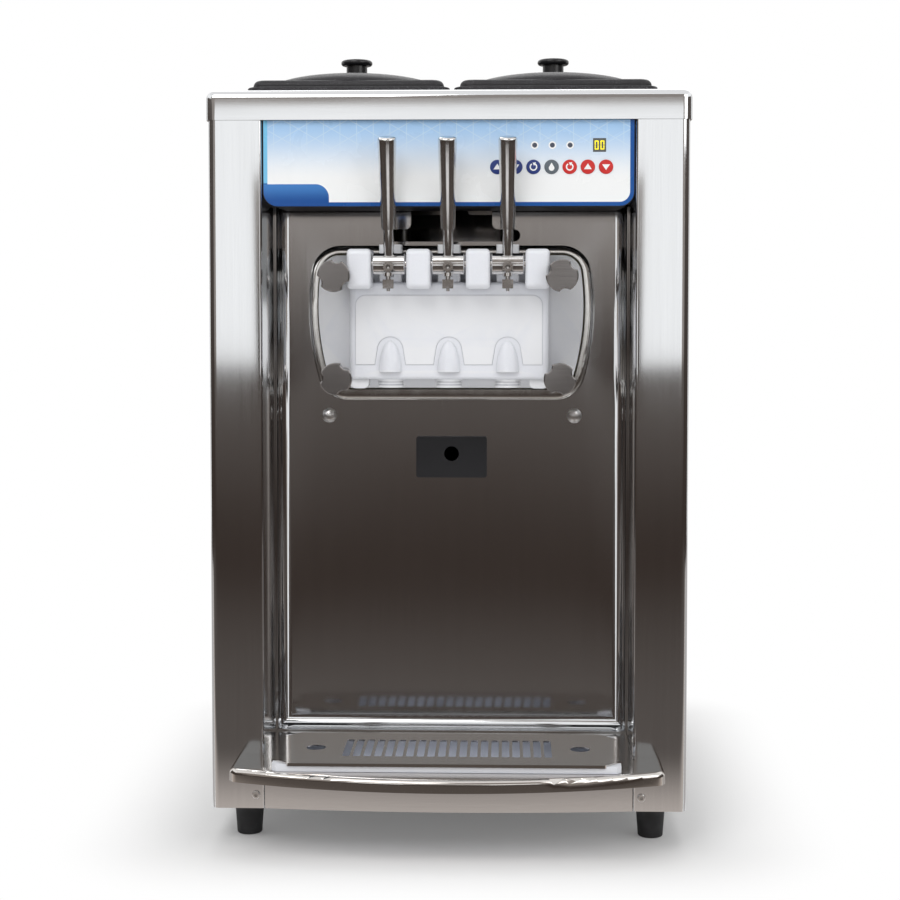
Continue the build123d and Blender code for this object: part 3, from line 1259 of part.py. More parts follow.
def handle_lever(x):
    hub = rod_x(HUB_RADIUS, x - HUB_WIDTH / 2, x + HUB_WIDTH / 2, PIVOT_Y, PIVOT_Z)
    hub = chamfer(hub.edges().filter_by(GeomType.CIRCLE), HUB_RADIUS / 12)
    lever = hub + lever_axis(x) * rod_z(STEM_RADIUS, 0, STEM_LENGTH, 0, 0)
    arm = Pos(x, PIVOT_Y, PIVOT_Z) * Rot(FINGER_REST, 0, 0)
    lever += arm * rod_y(FINGER_RADIUS, 0, FINGER_LENGTH, 0, 0)
    lever += arm * Pos(0, FINGER_LENGTH, 0) * Sphere(FINGER_BALL)
    front = PIVOT_Y - HUB_RADIUS - STOP_BOSS_PROUD
    boss_z = PIVOT_Z - STOP_BOSS_DROP
    lever += rod_y(STOP_BOSS_RADIUS, front, PIVOT_Y, x, boss_z)
    lever -= rod_y(STOP_HEX, front, front + STOP_HEX_DEPTH, x, boss_z)
    stop_y = front + STOP_BLOCK_DEPTH / 2
    lever += rod_z(STOP_STEM_RADIUS, PIVOT_Z - STOP_BLOCK_TOP, boss_z, x, stop_y)
    nut_z = PIVOT_Z - STOP_NUT_TOP
    lever += rod_z(STOP_NUT, nut_z - STOP_NUT_THICK, nut_z, x, stop_y)
    half = STOP_BLOCK / 2
    lever += block(
        x - half, x + half, front, front + STOP_BLOCK_DEPTH,
        PIVOT_Z - STOP_BLOCK_BOTTOM, PIVOT_Z - STOP_BLOCK_TOP,
    )
    lever += rod_z(STOP_TIP_RADIUS, PIVOT_Z - STOP_TIP, PIVOT_Z - STOP_BLOCK_BOTTOM, x, stop_y)
    pin_half = HUB_WIDTH / 2 + SHEET
    return lever - rod_x(PIVOT_RADIUS + PIVOT_GAP, x - pin_half, x + pin_half, PIVOT_Y, PIVOT_Z)


def handle_grip(x):
    length = GRIP_END - GRIP_START
    cone = Pos(0, 0, GRIP_START + length / 2) * Cone(GRIP_FOOT_RADIUS, GRIP_TOP_RADIUS, length)
    cone = fillet(cone.edges().sort_by(Axis.Z)[-1], GRIP_ROUND)
    bore = rod_z(STEM_RADIUS + GRIP_FIT, GRIP_START - SHEET, STEM_LENGTH + GRIP_FIT, 0, 0)
    return lever_axis(x) * (cone - bore)


def all_pieces():
    pieces = {
        "base_pan": base_pan(),
        "feet": feet(),
        "rear_panel": rear_panel(),
        "top_cover": top_cover(),
        "splash_panel": splash_panel(),
        "door_surround": door_surround(),
        "front_rail": front_rail(),
        "drip_shelf": drip_shelf(),
        "drip_tray": drip_tray(),
        "tray_grille": tray_grille(),
        "drawer_sleeve": drawer_sleeve(),
        "drip_drawer": drip_drawer(),
        "panel_screws": panel_screws(),
        "control_fascia": control_fascia(),
        "control_overlay": control_overlay(),
        "display_and_lamps": display_and_lamps(),
        "control_board": control_board(),
        "mix_feed_tubes": mix_feed_tubes(),
        "freezing_barrels": freezing_barrels(),
        "barrel_jacket": barrel_jacket(),
        "gear_motors": gear_motors(),
        "compressor": compressor(),
        "condenser": condenser(),
        "fan_motor": fan_motor(),
        "fan_blade": fan_blade(),
        "power_inlet": power_inlet(),
        "draw_door": draw_door(),
        "door_gaskets": door_gaskets(),
        "outlet_nozzles": outlet_nozzles(),
        "pivot_rod": pivot_rod(),
    }
    for name, side in SIDES.items():
        pieces[f"{name}_side_panel"] = side_panel(side)
        pieces[f"{name}_hopper"] = hopper(side)
        pieces[f"{name}_lid"] = lid(side)
        pieces[f"{name}_lid_knob"] = lid_knob(side)
        pieces[f"{name}_beater"] = beater(side)
    for name, x in HANDLE_PLACES.items():
        pieces[f"handle_lever_{name}"] = handle_lever(x)
        pieces[f"handle_grip_{name}"] = handle_grip(x)
        pieces[f"draw_plunger_{name}"] = draw_plunger(x)
    for (name, place), turn in zip(STUD_PLACES.items(), SCREW_TURNS):
        pieces[f"hand_screw_{name}"] = hand_screw(*place, turn)
    for number, place in enumerate(key_places(), start=1):
        pieces[f"key_{number}"] = key(*place)
    return pieces


os.makedirs("parts", exist_ok=True)
for node, shape in all_pieces().items():
    export_step(shape, f"parts/{node}.step")
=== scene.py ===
"""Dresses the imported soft-serve machine: finishes, printed panel, small fittings, studio and camera."""

from __future__ import annotations

import json
import logging
import math
from collections.abc import Callable
from dataclasses import dataclass
from enum import Enum
from functools import cache

import bmesh
import bpy
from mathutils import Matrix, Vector

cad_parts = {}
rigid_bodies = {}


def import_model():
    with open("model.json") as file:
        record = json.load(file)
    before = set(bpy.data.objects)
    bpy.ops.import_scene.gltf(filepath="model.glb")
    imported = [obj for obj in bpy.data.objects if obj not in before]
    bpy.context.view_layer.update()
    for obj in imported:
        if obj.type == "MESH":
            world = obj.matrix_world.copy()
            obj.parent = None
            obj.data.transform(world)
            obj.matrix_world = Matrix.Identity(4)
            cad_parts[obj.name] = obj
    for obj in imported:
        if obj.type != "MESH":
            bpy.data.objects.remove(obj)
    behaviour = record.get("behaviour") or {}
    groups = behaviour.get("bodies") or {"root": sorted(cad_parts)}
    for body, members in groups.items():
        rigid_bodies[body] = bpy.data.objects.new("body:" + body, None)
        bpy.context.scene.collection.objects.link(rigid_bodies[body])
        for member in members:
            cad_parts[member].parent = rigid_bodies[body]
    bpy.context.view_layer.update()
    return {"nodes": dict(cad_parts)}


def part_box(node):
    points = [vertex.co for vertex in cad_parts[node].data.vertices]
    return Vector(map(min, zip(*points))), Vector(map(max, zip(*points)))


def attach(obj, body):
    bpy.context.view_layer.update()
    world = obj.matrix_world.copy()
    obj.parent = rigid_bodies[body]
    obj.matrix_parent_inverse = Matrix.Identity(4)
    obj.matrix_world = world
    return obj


log = logging.getLogger("soft_serve_machine")

MM = 0.001
CABINET = "cabinet"
FINE_RELIEF = 0.2 * MM
LEATHER_RELIEF = 0.4 * MM
MERGE_DISTANCE = 0.01 * MM
SHARP_ANGLE = 0.6

Colour = tuple[float, float, float]
Size3 = tuple[float, float, float]
Outline = list[tuple[float, float]]
Material = bpy.types.Material
Node = bpy.types.Node
Socket = bpy.types.NodeSocket
Sockets = bpy.types.bpy_prop_collection
Thing = bpy.types.Object
Tree = bpy.types.NodeTree


class Grain(Enum):
    """Direction in which sheet metal was brushed."""

    UP = (420.0, 420.0, 5.0)
    ACROSS = (5.0, 420.0, 420.0)


class Icon(Enum):
    """Sign moulded into a key cap."""

    UP = "up"
    DOWN = "down"
    CYCLE = "cycle"
    DROP = "drop"


class Bench:
    """Lays out nodes and links in one node tree."""

    def __init__(self, tree: Tree) -> None:
        """Keeps the tree and empties it."""
        self.tree = tree
        tree.nodes.clear()

    def feed(self, node: Node, inputs: dict) -> Node:
        """Sets or connects inputs of a node.

        Args:
            node: the node.
            inputs: values or sockets to connect, by input name or number.

        Returns:
            The same node.
        """
        for key, value in inputs.items():
            if isinstance(value, Socket):
                self.tree.links.new(value, node.inputs[key])
            else:
                node.inputs[key].default_value = value
        return node

    def add(self, kind: str, inputs: dict | None = None, **settings: object) -> Node:
        """Adds a node.

        Args:
            kind: Blender's name of the node type.
            inputs: values or sockets to connect, by input name or number.
            settings: properties of the node itself.

        Returns:
            The new node.
        """
        node = self.tree.nodes.new(kind)
        for name, value in settings.items():
            setattr(node, name, value)
        return self.feed(node, inputs or {})

    def math(self, operation: str, first: object, second: object = 0.0) -> Socket:
        """Returns the value of a Math node that reads numbers or sockets."""
        return self.add("ShaderNodeMath", {0: first, 1: second}, operation=operation).outputs[0]

    def scaled(self, value: object, factor: object, offset: object) -> Socket:
        """Returns the value times a factor plus an offset."""
        return self.math("ADD", self.math("MULTIPLY", value, factor), offset)

    def ramp(self, value: object, low: float, high: float) -> Socket:
        """Returns a smooth step, 0 where the value is low and 1 where it is high."""
        ends = {"Value": value, "From Min": low, "From Max": high}
        return self.add("ShaderNodeMapRange", ends, interpolation_type="SMOOTHSTEP").outputs["Result"]

    def mix(self, factor: object, first: object, second: object) -> Socket:
        """Returns a mix of two colours or sockets, the first at factor 0 and the second at 1."""
        colours = [value if isinstance(value, Socket) else opaque(value) for value in (first, second)]
        return self.add("ShaderNodeMix", {0: factor, 6: colours[0], 7: colours[1]}, data_type="RGBA").outputs[2]

    def place(self) -> Socket:
        """Returns the surface point in the machine's own frame."""
        return self.add("ShaderNodeTexCoord").outputs["Object"]

    def outside(self, along: object, up: object, width: float, height: float) -> Socket:
        """Measures how far a point lies outside a rectangle.

        Args:
            along: distance from the rectangle's middle, sideways.
            up: distance from its middle, upwards.
            width: half its width.
            height: half its height.

        Returns:
            The distance, 0 inside.
        """
        squares = []
        for offset, half in ((along, width), (up, height)):
            past = self.math("MAXIMUM", self.math("SUBTRACT", self.math("ABSOLUTE", offset), half), 0.0)
            squares.append(self.math("MULTIPLY", past, past))
        return self.math("SQRT", self.math("ADD", *squares))

    def noise(self, point: object, scale: object, detail: float, **more: float) -> Socket:
        """Returns a cloudy value from 0 to 1."""
        values = {"Vector": point, "Scale": scale, "Detail": detail, **more}
        return self.add("ShaderNodeTexNoise", values).outputs["Fac"]

    def bump(self, height: object, strength: float, distance: float = FINE_RELIEF) -> Socket:
        """Returns a normal that follows a height."""
        values = {"Height": height, "Strength": strength, "Distance": distance}
        return self.add("ShaderNodeBump", values).outputs[0]

    def tint(self, colour: Colour, shade: Socket) -> Socket:
        """Returns a colour times a shade."""
        return self.add("ShaderNodeVectorMath", {0: colour, "Scale": shade}, operation="SCALE").outputs[0]


def opaque(colour: Colour) -> tuple[float, float, float, float]:
    """Returns the colour with full alpha."""
    return (*colour, 1.0)


def dimmed(colour: Colour, share: float) -> Colour:
    """Returns the colour at a share of its brightness."""
    return tuple(share * part for part in colour)


def srgb(red: int, green: int, blue: int) -> Colour:
    """Turns a screen colour of 0 to 255 into the linear colour that shaders use."""
    parts = [value / 255 for value in (red, green, blue)]
    return tuple(part / 12.92 if part <= 0.04045 else ((part + 0.055) / 1.055) ** 2.4 for part in parts)


def new_group(name: str, inputs: dict[str, float | Size3], *outputs: str) -> tuple[Bench, Sockets]:
    """Makes an empty shader group.

    Args:
        name: the group's name.
        inputs: default values by socket name, a number or a vector.
        outputs: names of the values that it puts out.

    Returns:
        The bench of the group's tree and the sockets of its input node.
    """
    tree = bpy.data.node_groups.new(name, "ShaderNodeTree")
    for label, value in inputs.items():
        kind = "NodeSocketVector" if isinstance(value, tuple) else "NodeSocketFloat"
        tree.interface.new_socket(label, in_out="INPUT", socket_type=kind).default_value = value
    for label in outputs:
        tree.interface.new_socket(label, in_out="OUTPUT", socket_type="NodeSocketFloat")
    bench = Bench(tree)
    return bench, bench.add("NodeGroupInput").outputs


@cache
def brushing_group() -> Tree:
    """Builds the brushed grain of sheet metal: long fine streaks with a few deeper scratches.

    Returns:
        A group with the streaks as a shade about 1 and as a height.
    """
    bench, given = new_group("brushed_grain", {"Stretch": (400.0, 400.0, 5.0), "Contrast": 0.1}, "Shade", "Height")
    spread = bench.add("ShaderNodeVectorMath", {0: bench.place(), 1: given["Stretch"]}, operation="MULTIPLY")
    point = spread.outputs[0]
    fine = bench.noise(point, 2.2, 3.0, Roughness=0.6)
    height = bench.scaled(bench.noise(point, 0.35, 2.0), 0.6, fine)
    middle = 0.8
    shade = bench.scaled(bench.math("SUBTRACT", height, middle), given["Contrast"], 1.0)
    bench.add("NodeGroupOutput", {"Shade": shade, "Height": height})
    return bench.tree


@cache
def smudge_group() -> Tree:
    """Builds soft handling marks.

    Returns:
        A group with a blotchy mask from 0 to 1.
    """
    bench, given = new_group("handling_marks", {"Scale": 6.0}, "Mask")
    blotch = bench.noise(bench.place(), given["Scale"], 5.0, Distortion=0.6)
    bench.add("NodeGroupOutput", {"Mask": bench.ramp(blotch, 0.35, 0.7)})
    return bench.tree


@cache
def pebble_group() -> Tree:
    """Builds the fine pebble of moulded plastic and rubber.

    Returns:
        A group with the pebble as a height and as a shade about 1.
    """
    bench, given = new_group("moulded_pebble", {"Scale": 900.0, "Contrast": 0.06}, "Shade", "Height")
    point = bench.place()
    grain = bench.noise(point, given["Scale"], 2.0)
    wide = bench.noise(point, 14.0, 4.0)
    blend = bench.math("SUBTRACT", bench.math("ADD", grain, wide), 1.0)
    bench.add("NodeGroupOutput", {"Shade": bench.scaled(blend, given["Contrast"], 1.0), "Height": grain})
    return bench.tree


@cache
def wear_and_sheen_group() -> Tree:
    """Builds the lighter look of convex edges: wear where hands and cloths reach, and on the lid partly a painted
    highlight.

    Returns:
        A group with a mask that is 1 on lightened convex edges.
    """
    bench, given = new_group("edge_wear_and_sheen", {"Reach": 0.54}, "Mask")
    edge = bench.add("ShaderNodeNewGeometry").outputs["Pointiness"]
    patchy, soft = 0.06, 0.06
    # Convex edges lighten: wear, and on the lid also a painted highlight.
    wear_and_sheen_mask = bench.scaled(bench.noise(bench.place(), 60.0, 4.0), patchy, edge)
    level = bench.math("SUBTRACT", wear_and_sheen_mask, given["Reach"])
    bench.add("NodeGroupOutput", {"Mask": bench.ramp(level, 0.0, soft)})
    return bench.tree


@cache
def painted_shade_group() -> Tree:
    """Builds the mask for painted shade in grooves and inner corners, from ambient occlusion.

    Returns:
        A group with a mask that is 1 deep in a hollow.
    """
    bench, given = new_group("painted_cavity_shade", {"Depth": 6.0 * MM}, "Mask")
    sky = bench.add("ShaderNodeAmbientOcclusion", {"Distance": given["Depth"]}, samples=8, only_local=True)
    bench.add("NodeGroupOutput", {"Mask": bench.math("SUBTRACT", 1.0, sky.outputs["AO"])})
    return bench.tree


def effect(bench: Bench, group: Callable[[], Tree], **inputs: object) -> Sockets:
    """Places a shared shader group, built on first use, and returns its outputs."""
    return bench.add("ShaderNodeGroup", inputs, node_tree=group()).outputs


def with_painted_shade(bench: Bench, body: object, dark: Colour, share: float) -> Socket:
    """Returns a colour with painted shade: it takes on a share of a dark one in grooves and inner corners."""
    mask = effect(bench, painted_shade_group)["Mask"]
    # Painted shade: the colour darkens where ambient occlusion finds a groove or inner corner.
    return bench.mix(bench.math("MULTIPLY", mask, share), body, dark)


def bare_material(name: str) -> tuple[Material, Bench]:
    """Makes a material with no nodes.

    Args:
        name: the material's name.

    Returns:
        The material and its bench.
    """
    material = bpy.data.materials.new(name)
    material.use_nodes = True
    return material, Bench(material.node_tree)


@dataclass(frozen=True)
class Finish:
    """Material with one Principled shader."""

    name: str

    def sockets(self, bench: Bench) -> dict[str, object]:
        """Returns the shader's inputs by name, each a value or a socket on the material's bench."""
        raise NotImplementedError

    def build(self) -> Material:
        """Makes the material.

        Returns:
            The finished material.
        """
        material, bench = bare_material(self.name)
        shader = bench.add("ShaderNodeBsdfPrincipled")
        bench.add("ShaderNodeOutputMaterial", {"Surface": shader.outputs[0]})
        bench.feed(shader, self.sockets(bench))
        return material


@dataclass(frozen=True)
class BrushedSteel(Finish):
    """Stainless sheet with a brushed grain and handling marks."""

    colour: Colour
    roughness: float
    grain: Grain
    contrast: float = 0.11
    relief: float = 0.012
    dulling: float = 0.02

    def sockets(self, bench: Bench) -> dict[str, object]:
        """Lays out the grain and the marks.

        Args:
            bench: the material's bench.

        Returns:
            The shader's inputs by name.
        """
        streaks = effect(bench, brushing_group, Stretch=self.grain.value, Contrast=self.contrast)
        marks = effect(bench, smudge_group, Scale=5.0)["Mask"]
        level = bench.scaled(marks, self.dulling, self.roughness)
        return {
            "Metallic": 1.0,
            "Base Color": bench.tint(self.colour, streaks["Shade"]),
            "Roughness": bench.scaled(streaks["Height"], self.dulling, level),
            "Normal": bench.bump(streaks["Height"], self.relief),
        }


@dataclass(frozen=True)
class PolishedSteel(Finish):
    """Turned or pressed stainless with a soft mirror, fine rub marks and painted shade in grooves."""

    colour: Colour
    roughness: float
    stretch: Size3 = (30.0, 30.0, 30.0)
    relief: float = 0.02
    # Share of painted shade in grooves and inner corners, and how dark it makes the colour.
    shade: float = 0.9
    shade_dimming: float = 0.3

    def sockets(self, bench: Bench) -> dict[str, object]:
        """Lays out the rub marks and the painted shade in grooves.

        Args:
            bench: the material's bench.

        Returns:
            The shader's inputs by name.
        """
        rub = effect(bench, brushing_group, Stretch=self.stretch, Contrast=0.12)
        marks = effect(bench, smudge_group, Scale=40.0)["Mask"]
        body = bench.tint(self.colour, rub["Shade"])
        return {
            "Metallic": 1.0,
            # Painted shade: the base colour darkens in grooves and inner corners.
            "Base Color": with_painted_shade(bench, body, dimmed(self.colour, self.shade_dimming), self.shade),
            "Roughness": bench.scaled(marks, 0.06, self.roughness),
            "Normal": bench.bump(rub["Height"], self.relief),
        }


@dataclass(frozen=True)
class Moulding(Finish):
    """Moulded plastic or rubber with a fine pebble, soft marks, edges lightened by wear and, where its shade is set,
    painted shade in grooves.
    """

    colour: Colour
    wear_and_sheen: Colour
    roughness: float
    pebble: float = 900.0
    relief: float = 0.06
    coat: float = 0.0
    # Share of painted shade in grooves, 0 for none, and how dark it makes the colour.
    shade: float = 0.0
    shade_dimming: float = 0.45

    def sockets(self, bench: Bench) -> dict[str, object]:
        """Lays out the pebble, the marks, the edges lightened by wear and the painted shade in grooves.

        Args:
            bench: the material's bench.

        Returns:
            The shader's inputs by name.
        """
        pebble = effect(bench, pebble_group, Scale=self.pebble)
        marks = effect(bench, smudge_group, Scale=18.0)["Mask"]
        wear_and_sheen_mask = effect(bench, wear_and_sheen_group)["Mask"]
        body = bench.mix(wear_and_sheen_mask, bench.tint(self.colour, pebble["Shade"]), self.wear_and_sheen)
        return {
            # Painted shade in grooves; only the white door's finish sets a share of it.
            "Base Color": with_painted_shade(bench, body, dimmed(self.colour, self.shade_dimming), self.shade),
            "Roughness": bench.scaled(marks, 0.08, self.roughness),
            "Coat Weight": self.coat,
            "Coat Roughness": 0.12,
            "Normal": bench.bump(pebble["Height"], self.relief),
        }


@dataclass(frozen=True)
class LeatherMoulding(Finish):
    """Dark moulded plastic with a cast leather grain and lighter grain tops on convex edges, partly wear and partly a
    painted highlight.
    """

    colour: Colour
    wear_and_sheen: Colour
    roughness: float
    cell: float
    bend: float = 4.0 * MM
    crease: float = 0.35
    relief: float = 0.35
    gloss: float = 0.1

    def sockets(self, bench: Bench) -> dict[str, object]:
        """Lays out the leather cells and their rubbed tops.

        Args:
            bench: the material's bench.

        Returns:
            Lays out the leather cells and their lighter tops on convex edges, partly wear and partly a painted
            highlight.
        """
        point = bench.place()
        cloud = bench.add("ShaderNodeTexNoise", {"Vector": point, "Scale": 160.0, "Detail": 2.0})
        pull = bench.add("ShaderNodeVectorMath", {0: cloud.outputs["Color"], "Scale": self.bend}, operation="SCALE")
        bent = bench.add("ShaderNodeVectorMath", {0: point, 1: pull.outputs[0]}, operation="ADD")
        cells = {"Vector": bent.outputs[0], "Scale": 1.0 / self.cell}
        creases = bench.add("ShaderNodeTexVoronoi", cells, feature="DISTANCE_TO_EDGE")
        swell = bench.ramp(creases.outputs["Distance"], 0.0, self.crease)
        wear_and_sheen_mask = effect(bench, wear_and_sheen_group, Reach=0.53)["Mask"]
        return {
            # Painted highlight, partly wear: grain tops on convex edges lighten towards the second colour.
            "Base Color": bench.mix(bench.math("MULTIPLY", wear_and_sheen_mask, swell), self.colour, self.wear_and_sheen),
            "Roughness": bench.scaled(swell, -self.gloss, self.roughness),
            "Normal": bench.bump(swell, self.relief, LEATHER_RELIEF),
        }


@dataclass(frozen=True)
class Lamplight(Finish):
    """Small lit segment or lens."""

    colour: Colour
    glow: float

    def sockets(self, bench: Bench) -> dict[str, object]:
        """Lays out the glow and its marks.

        Args:
            bench: the material's bench.

        Returns:
            The shader's inputs by name.
        """
        marks = effect(bench, smudge_group, Scale=300.0)["Mask"]
        shade = bench.mix(marks, self.colour, dimmed(self.colour, 0.8))
        return {"Base Color": shade, "Emission Color": shade, "Emission Strength": self.glow, "Roughness": 0.3}


@dataclass(frozen=True)
class PrintedFilm(Finish):
    """Film of the key panel: pale sky fading to white, a faint lattice, a blue border and a bare tab."""

    low: Size3
    high: Size3
    corner: float = 16.0 * MM
    border: float = 4.6 * MM
    tab_width: float = 73.0 * MM
    tab_height: float = 24.5 * MM
    tab_corner: float = 15.0 * MM
    tab_fade: float = 4.0 * MM
    lattice: float = 18.5 * MM
    blur: float = 0.2 * MM
    horizon: float = 0.28
    lattice_strength: float = 0.45
    pale_inner: float = 7.0 * MM
    pale_outer: float = 4.0 * MM
    pale_rise: float = 2.0 * MM
    paper: Colour = srgb(254, 255, 255)
    sky: Colour = srgb(168, 208, 247)
    thread: Colour = srgb(222, 238, 250)
    blue: Colour = srgb(0, 82, 160)
    pale_blue: Colour = srgb(125, 203, 242)
    tab_foot: Colour = srgb(0, 76, 152)
    tab_top: Colour = srgb(62, 128, 200)

    def lattice_mask(self, bench: Bench, along: object, up: object) -> Socket:
        """Draws three families of fine lines.

        Args:
            bench: the material's bench.
            along: sideways coordinate.
            up: upward coordinate.

        Returns:
            A mask that is 1 on the lines.
        """
        total: object = 0.0
        for turn in (90.0, 30.0, 150.0):
            angle = math.radians(turn)
            across = bench.math("MULTIPLY", along, math.sin(angle) / self.lattice)
            height = bench.math("MULTIPLY", up, math.cos(angle) / self.lattice)
            wave = bench.math("FRACT", bench.math("ADD", bench.math("ADD", across, height), 40.0))
            near = bench.math("ABSOLUTE", bench.math("SUBTRACT", wave, 0.5))
            total = bench.math("MAXIMUM", total, bench.ramp(near, 0.035, 0.015))
        return total

    def sockets(self, bench: Bench) -> dict[str, object]:
        """Lays out the print, its gloss and a fine pebble.

        Args:
            bench: the material's bench.

        Returns:
            The shader's inputs by name.
        """
        parts = bench.add("ShaderNodeSeparateXYZ", {0: bench.place()}).outputs
        half = (self.high[0] - self.low[0]) / 2
        tall = self.high[2] - self.low[2]
        along = bench.math("SUBTRACT", parts["X"], (self.high[0] + self.low[0]) / 2)
        up = bench.math("SUBTRACT", parts["Z"], self.low[2])
        fade = bench.ramp(up, self.horizon * tall, tall)
        lines = bench.math("MULTIPLY", self.lattice_mask(bench, along, up), fade)
        threads = bench.math("MULTIPLY", lines, self.lattice_strength)
        paper = bench.mix(threads, bench.mix(fade, self.paper, self.sky), self.thread)
        drop = bench.math("SUBTRACT", up, tall)
        reach = bench.outside(along, drop, half - self.corner, tall - self.corner)
        inside = self.corner - self.border
        left = bench.ramp(along, self.pale_inner - half, self.pale_outer - half)
        rise = bench.ramp(up, self.tab_height, self.tab_height + self.pale_rise)
        border = bench.mix(bench.math("MULTIPLY", left, rise), self.blue, self.pale_blue)
        printed = bench.mix(bench.ramp(reach, inside, inside + 2 * self.blur), paper, border)
        tab_side = bench.math("ADD", along, half)
        tab = bench.outside(tab_side, up, self.tab_width - self.tab_corner, self.tab_height - self.tab_corner)
        tab_mask = bench.ramp(tab, self.tab_corner + self.blur, self.tab_corner - self.blur)
        tab_colour = bench.mix(bench.ramp(up, self.tab_fade, self.tab_height), self.tab_foot, self.tab_top)
        marks = effect(bench, smudge_group, Scale=25.0)["Mask"]
        pebble = effect(bench, pebble_group, Scale=1200.0)
        return {
            "Base Color": bench.mix(tab_mask, printed, tab_colour),
            "Roughness": bench.scaled(marks, 0.08, 0.22),
            "Normal": bench.bump(pebble["Height"], 0.03),
        }


class Finishes:
    """All finishes of the machine, built once by name."""

    made: dict[str, Material] = {}
    steel = (0.83, 0.845, 0.86)
    recipes = [
        BrushedSteel("steel_upright", steel, 0.06, Grain.UP),
        BrushedSteel("steel_across", steel, 0.08, Grain.ACROSS),
        BrushedSteel("steel_shelf", (0.72, 0.69, 0.66), 0.1, Grain.ACROSS, 0.08, 0.004),
        BrushedSteel("steel_inner", (0.50, 0.50, 0.50), 0.36, Grain.ACROSS),
        PolishedSteel("steel_pressed", (0.74, 0.73, 0.71), 0.14),
        PolishedSteel("steel_turned", (0.78, 0.77, 0.76), 0.1, (60.0, 600.0, 60.0)),
        PolishedSteel("steel_satin", (0.84, 0.83, 0.82), 0.34),
        PolishedSteel("steel_grip", (0.76, 0.75, 0.74), 0.14, (500.0, 500.0, 20.0)),
        BrushedSteel("steel_hand_screw", (0.35, 0.335, 0.33), 0.2, Grain.ACROSS, 0.4, 0.04),
        # The white door's last figure sets its painted shade in grooves.
        Moulding("white_door", srgb(240, 242, 248), srgb(246, 247, 250), 0.34, 700.0, 0.04, 0.15, 0.7),
        Moulding("white_tray", srgb(226, 230, 240), srgb(240, 242, 248), 0.42, 600.0, 0.08),
        # The lid's second colour lightens its edges: partly wear, partly a painted highlight.
        LeatherMoulding("black_lid", srgb(30, 29, 33), srgb(80, 79, 84), 0.55, 2.6 * MM),
        Moulding("black_knob", srgb(26, 26, 29), srgb(70, 70, 75), 0.28, 1000.0, 0.03, 0.2),
        Moulding("black_drawer", srgb(22, 22, 25), srgb(38, 38, 42), 0.6, 500.0, 0.2),
        Moulding("black_fascia", srgb(24, 24, 26), srgb(46, 46, 50), 0.5, 500.0, 0.2),
        Moulding("black_rubber", srgb(30, 30, 32), srgb(62, 62, 64), 0.62, 420.0, 0.3),
        Moulding("blue_key", srgb(28, 54, 128), srgb(60, 88, 160), 0.3, 1100.0, 0.04, 0.3),
        Moulding("grey_key", srgb(96, 106, 114), srgb(130, 138, 144), 0.3, 1100.0, 0.04, 0.3),
        Moulding("red_key", srgb(212, 36, 32), srgb(228, 84, 78), 0.3, 1100.0, 0.04, 0.3),
        Moulding("white_sign", srgb(248, 249, 252), srgb(255, 255, 255), 0.35, 1100.0, 0.04),
        Moulding("dark_lens", srgb(60, 62, 58), srgb(90, 92, 88), 0.2, 1100.0, 0.02, 0.5),
        Moulding("green_board", srgb(40, 98, 66), srgb(90, 140, 110), 0.4, 400.0, 0.1),
        Moulding("foam_jacket", srgb(214, 200, 158), srgb(232, 222, 190), 0.9, 260.0, 0.6),
        Moulding("grey_drive", srgb(92, 96, 102), srgb(150, 152, 156), 0.45, 500.0, 0.2),
        Moulding("black_shell", srgb(28, 28, 30), srgb(80, 80, 82), 0.4, 500.0, 0.15, 0.2),
        PolishedSteel("fin_metal", (0.72, 0.73, 0.74), 0.35, (400.0, 20.0, 20.0), 0.1),
        Lamplight("lit_segment", srgb(240, 226, 40), 0.7),
        Moulding("lamp_cap", srgb(38, 44, 62), srgb(70, 76, 92), 0.25, 1100.0, 0.02, 0.5),
    ]

    @classmethod
    def get(cls, name: str) -> Material:
        """Finds a finish.

        Args:
            name: the finish's name.

        Returns:
            Its material, built on first use.
        """
        if name not in cls.made:
            recipe = next(item for item in cls.recipes if item.name == name)
            cls.made[name] = recipe.build()
        return cls.made[name]


def stand(name: str, data: bpy.types.ID) -> Thing:
    """Makes an object and puts it in the scene.

    Args:
        name: the object's name.
        data: its mesh, light or camera.

    Returns:
        The new object.
    """
    thing = bpy.data.objects.new(name, data)
    bpy.context.scene.collection.objects.link(thing)
    return thing


def grow_by(thing: Thing, tree: Tree, values: dict[str, object]) -> bpy.types.Modifier:
    """Gives an object a geometry tree.

    Args:
        thing: the object.
        tree: the geometry tree.
        values: the tree's inputs by name.

    Returns:
        The new modifier.
    """
    modifier = thing.modifiers.new(tree.name, "NODES")
    modifier.node_group = tree
    for item in tree.interface.items_tree:
        if item.item_type == "SOCKET" and item.in_out == "INPUT" and item.name in values:
            modifier[item.identifier] = values[item.name]
    return modifier


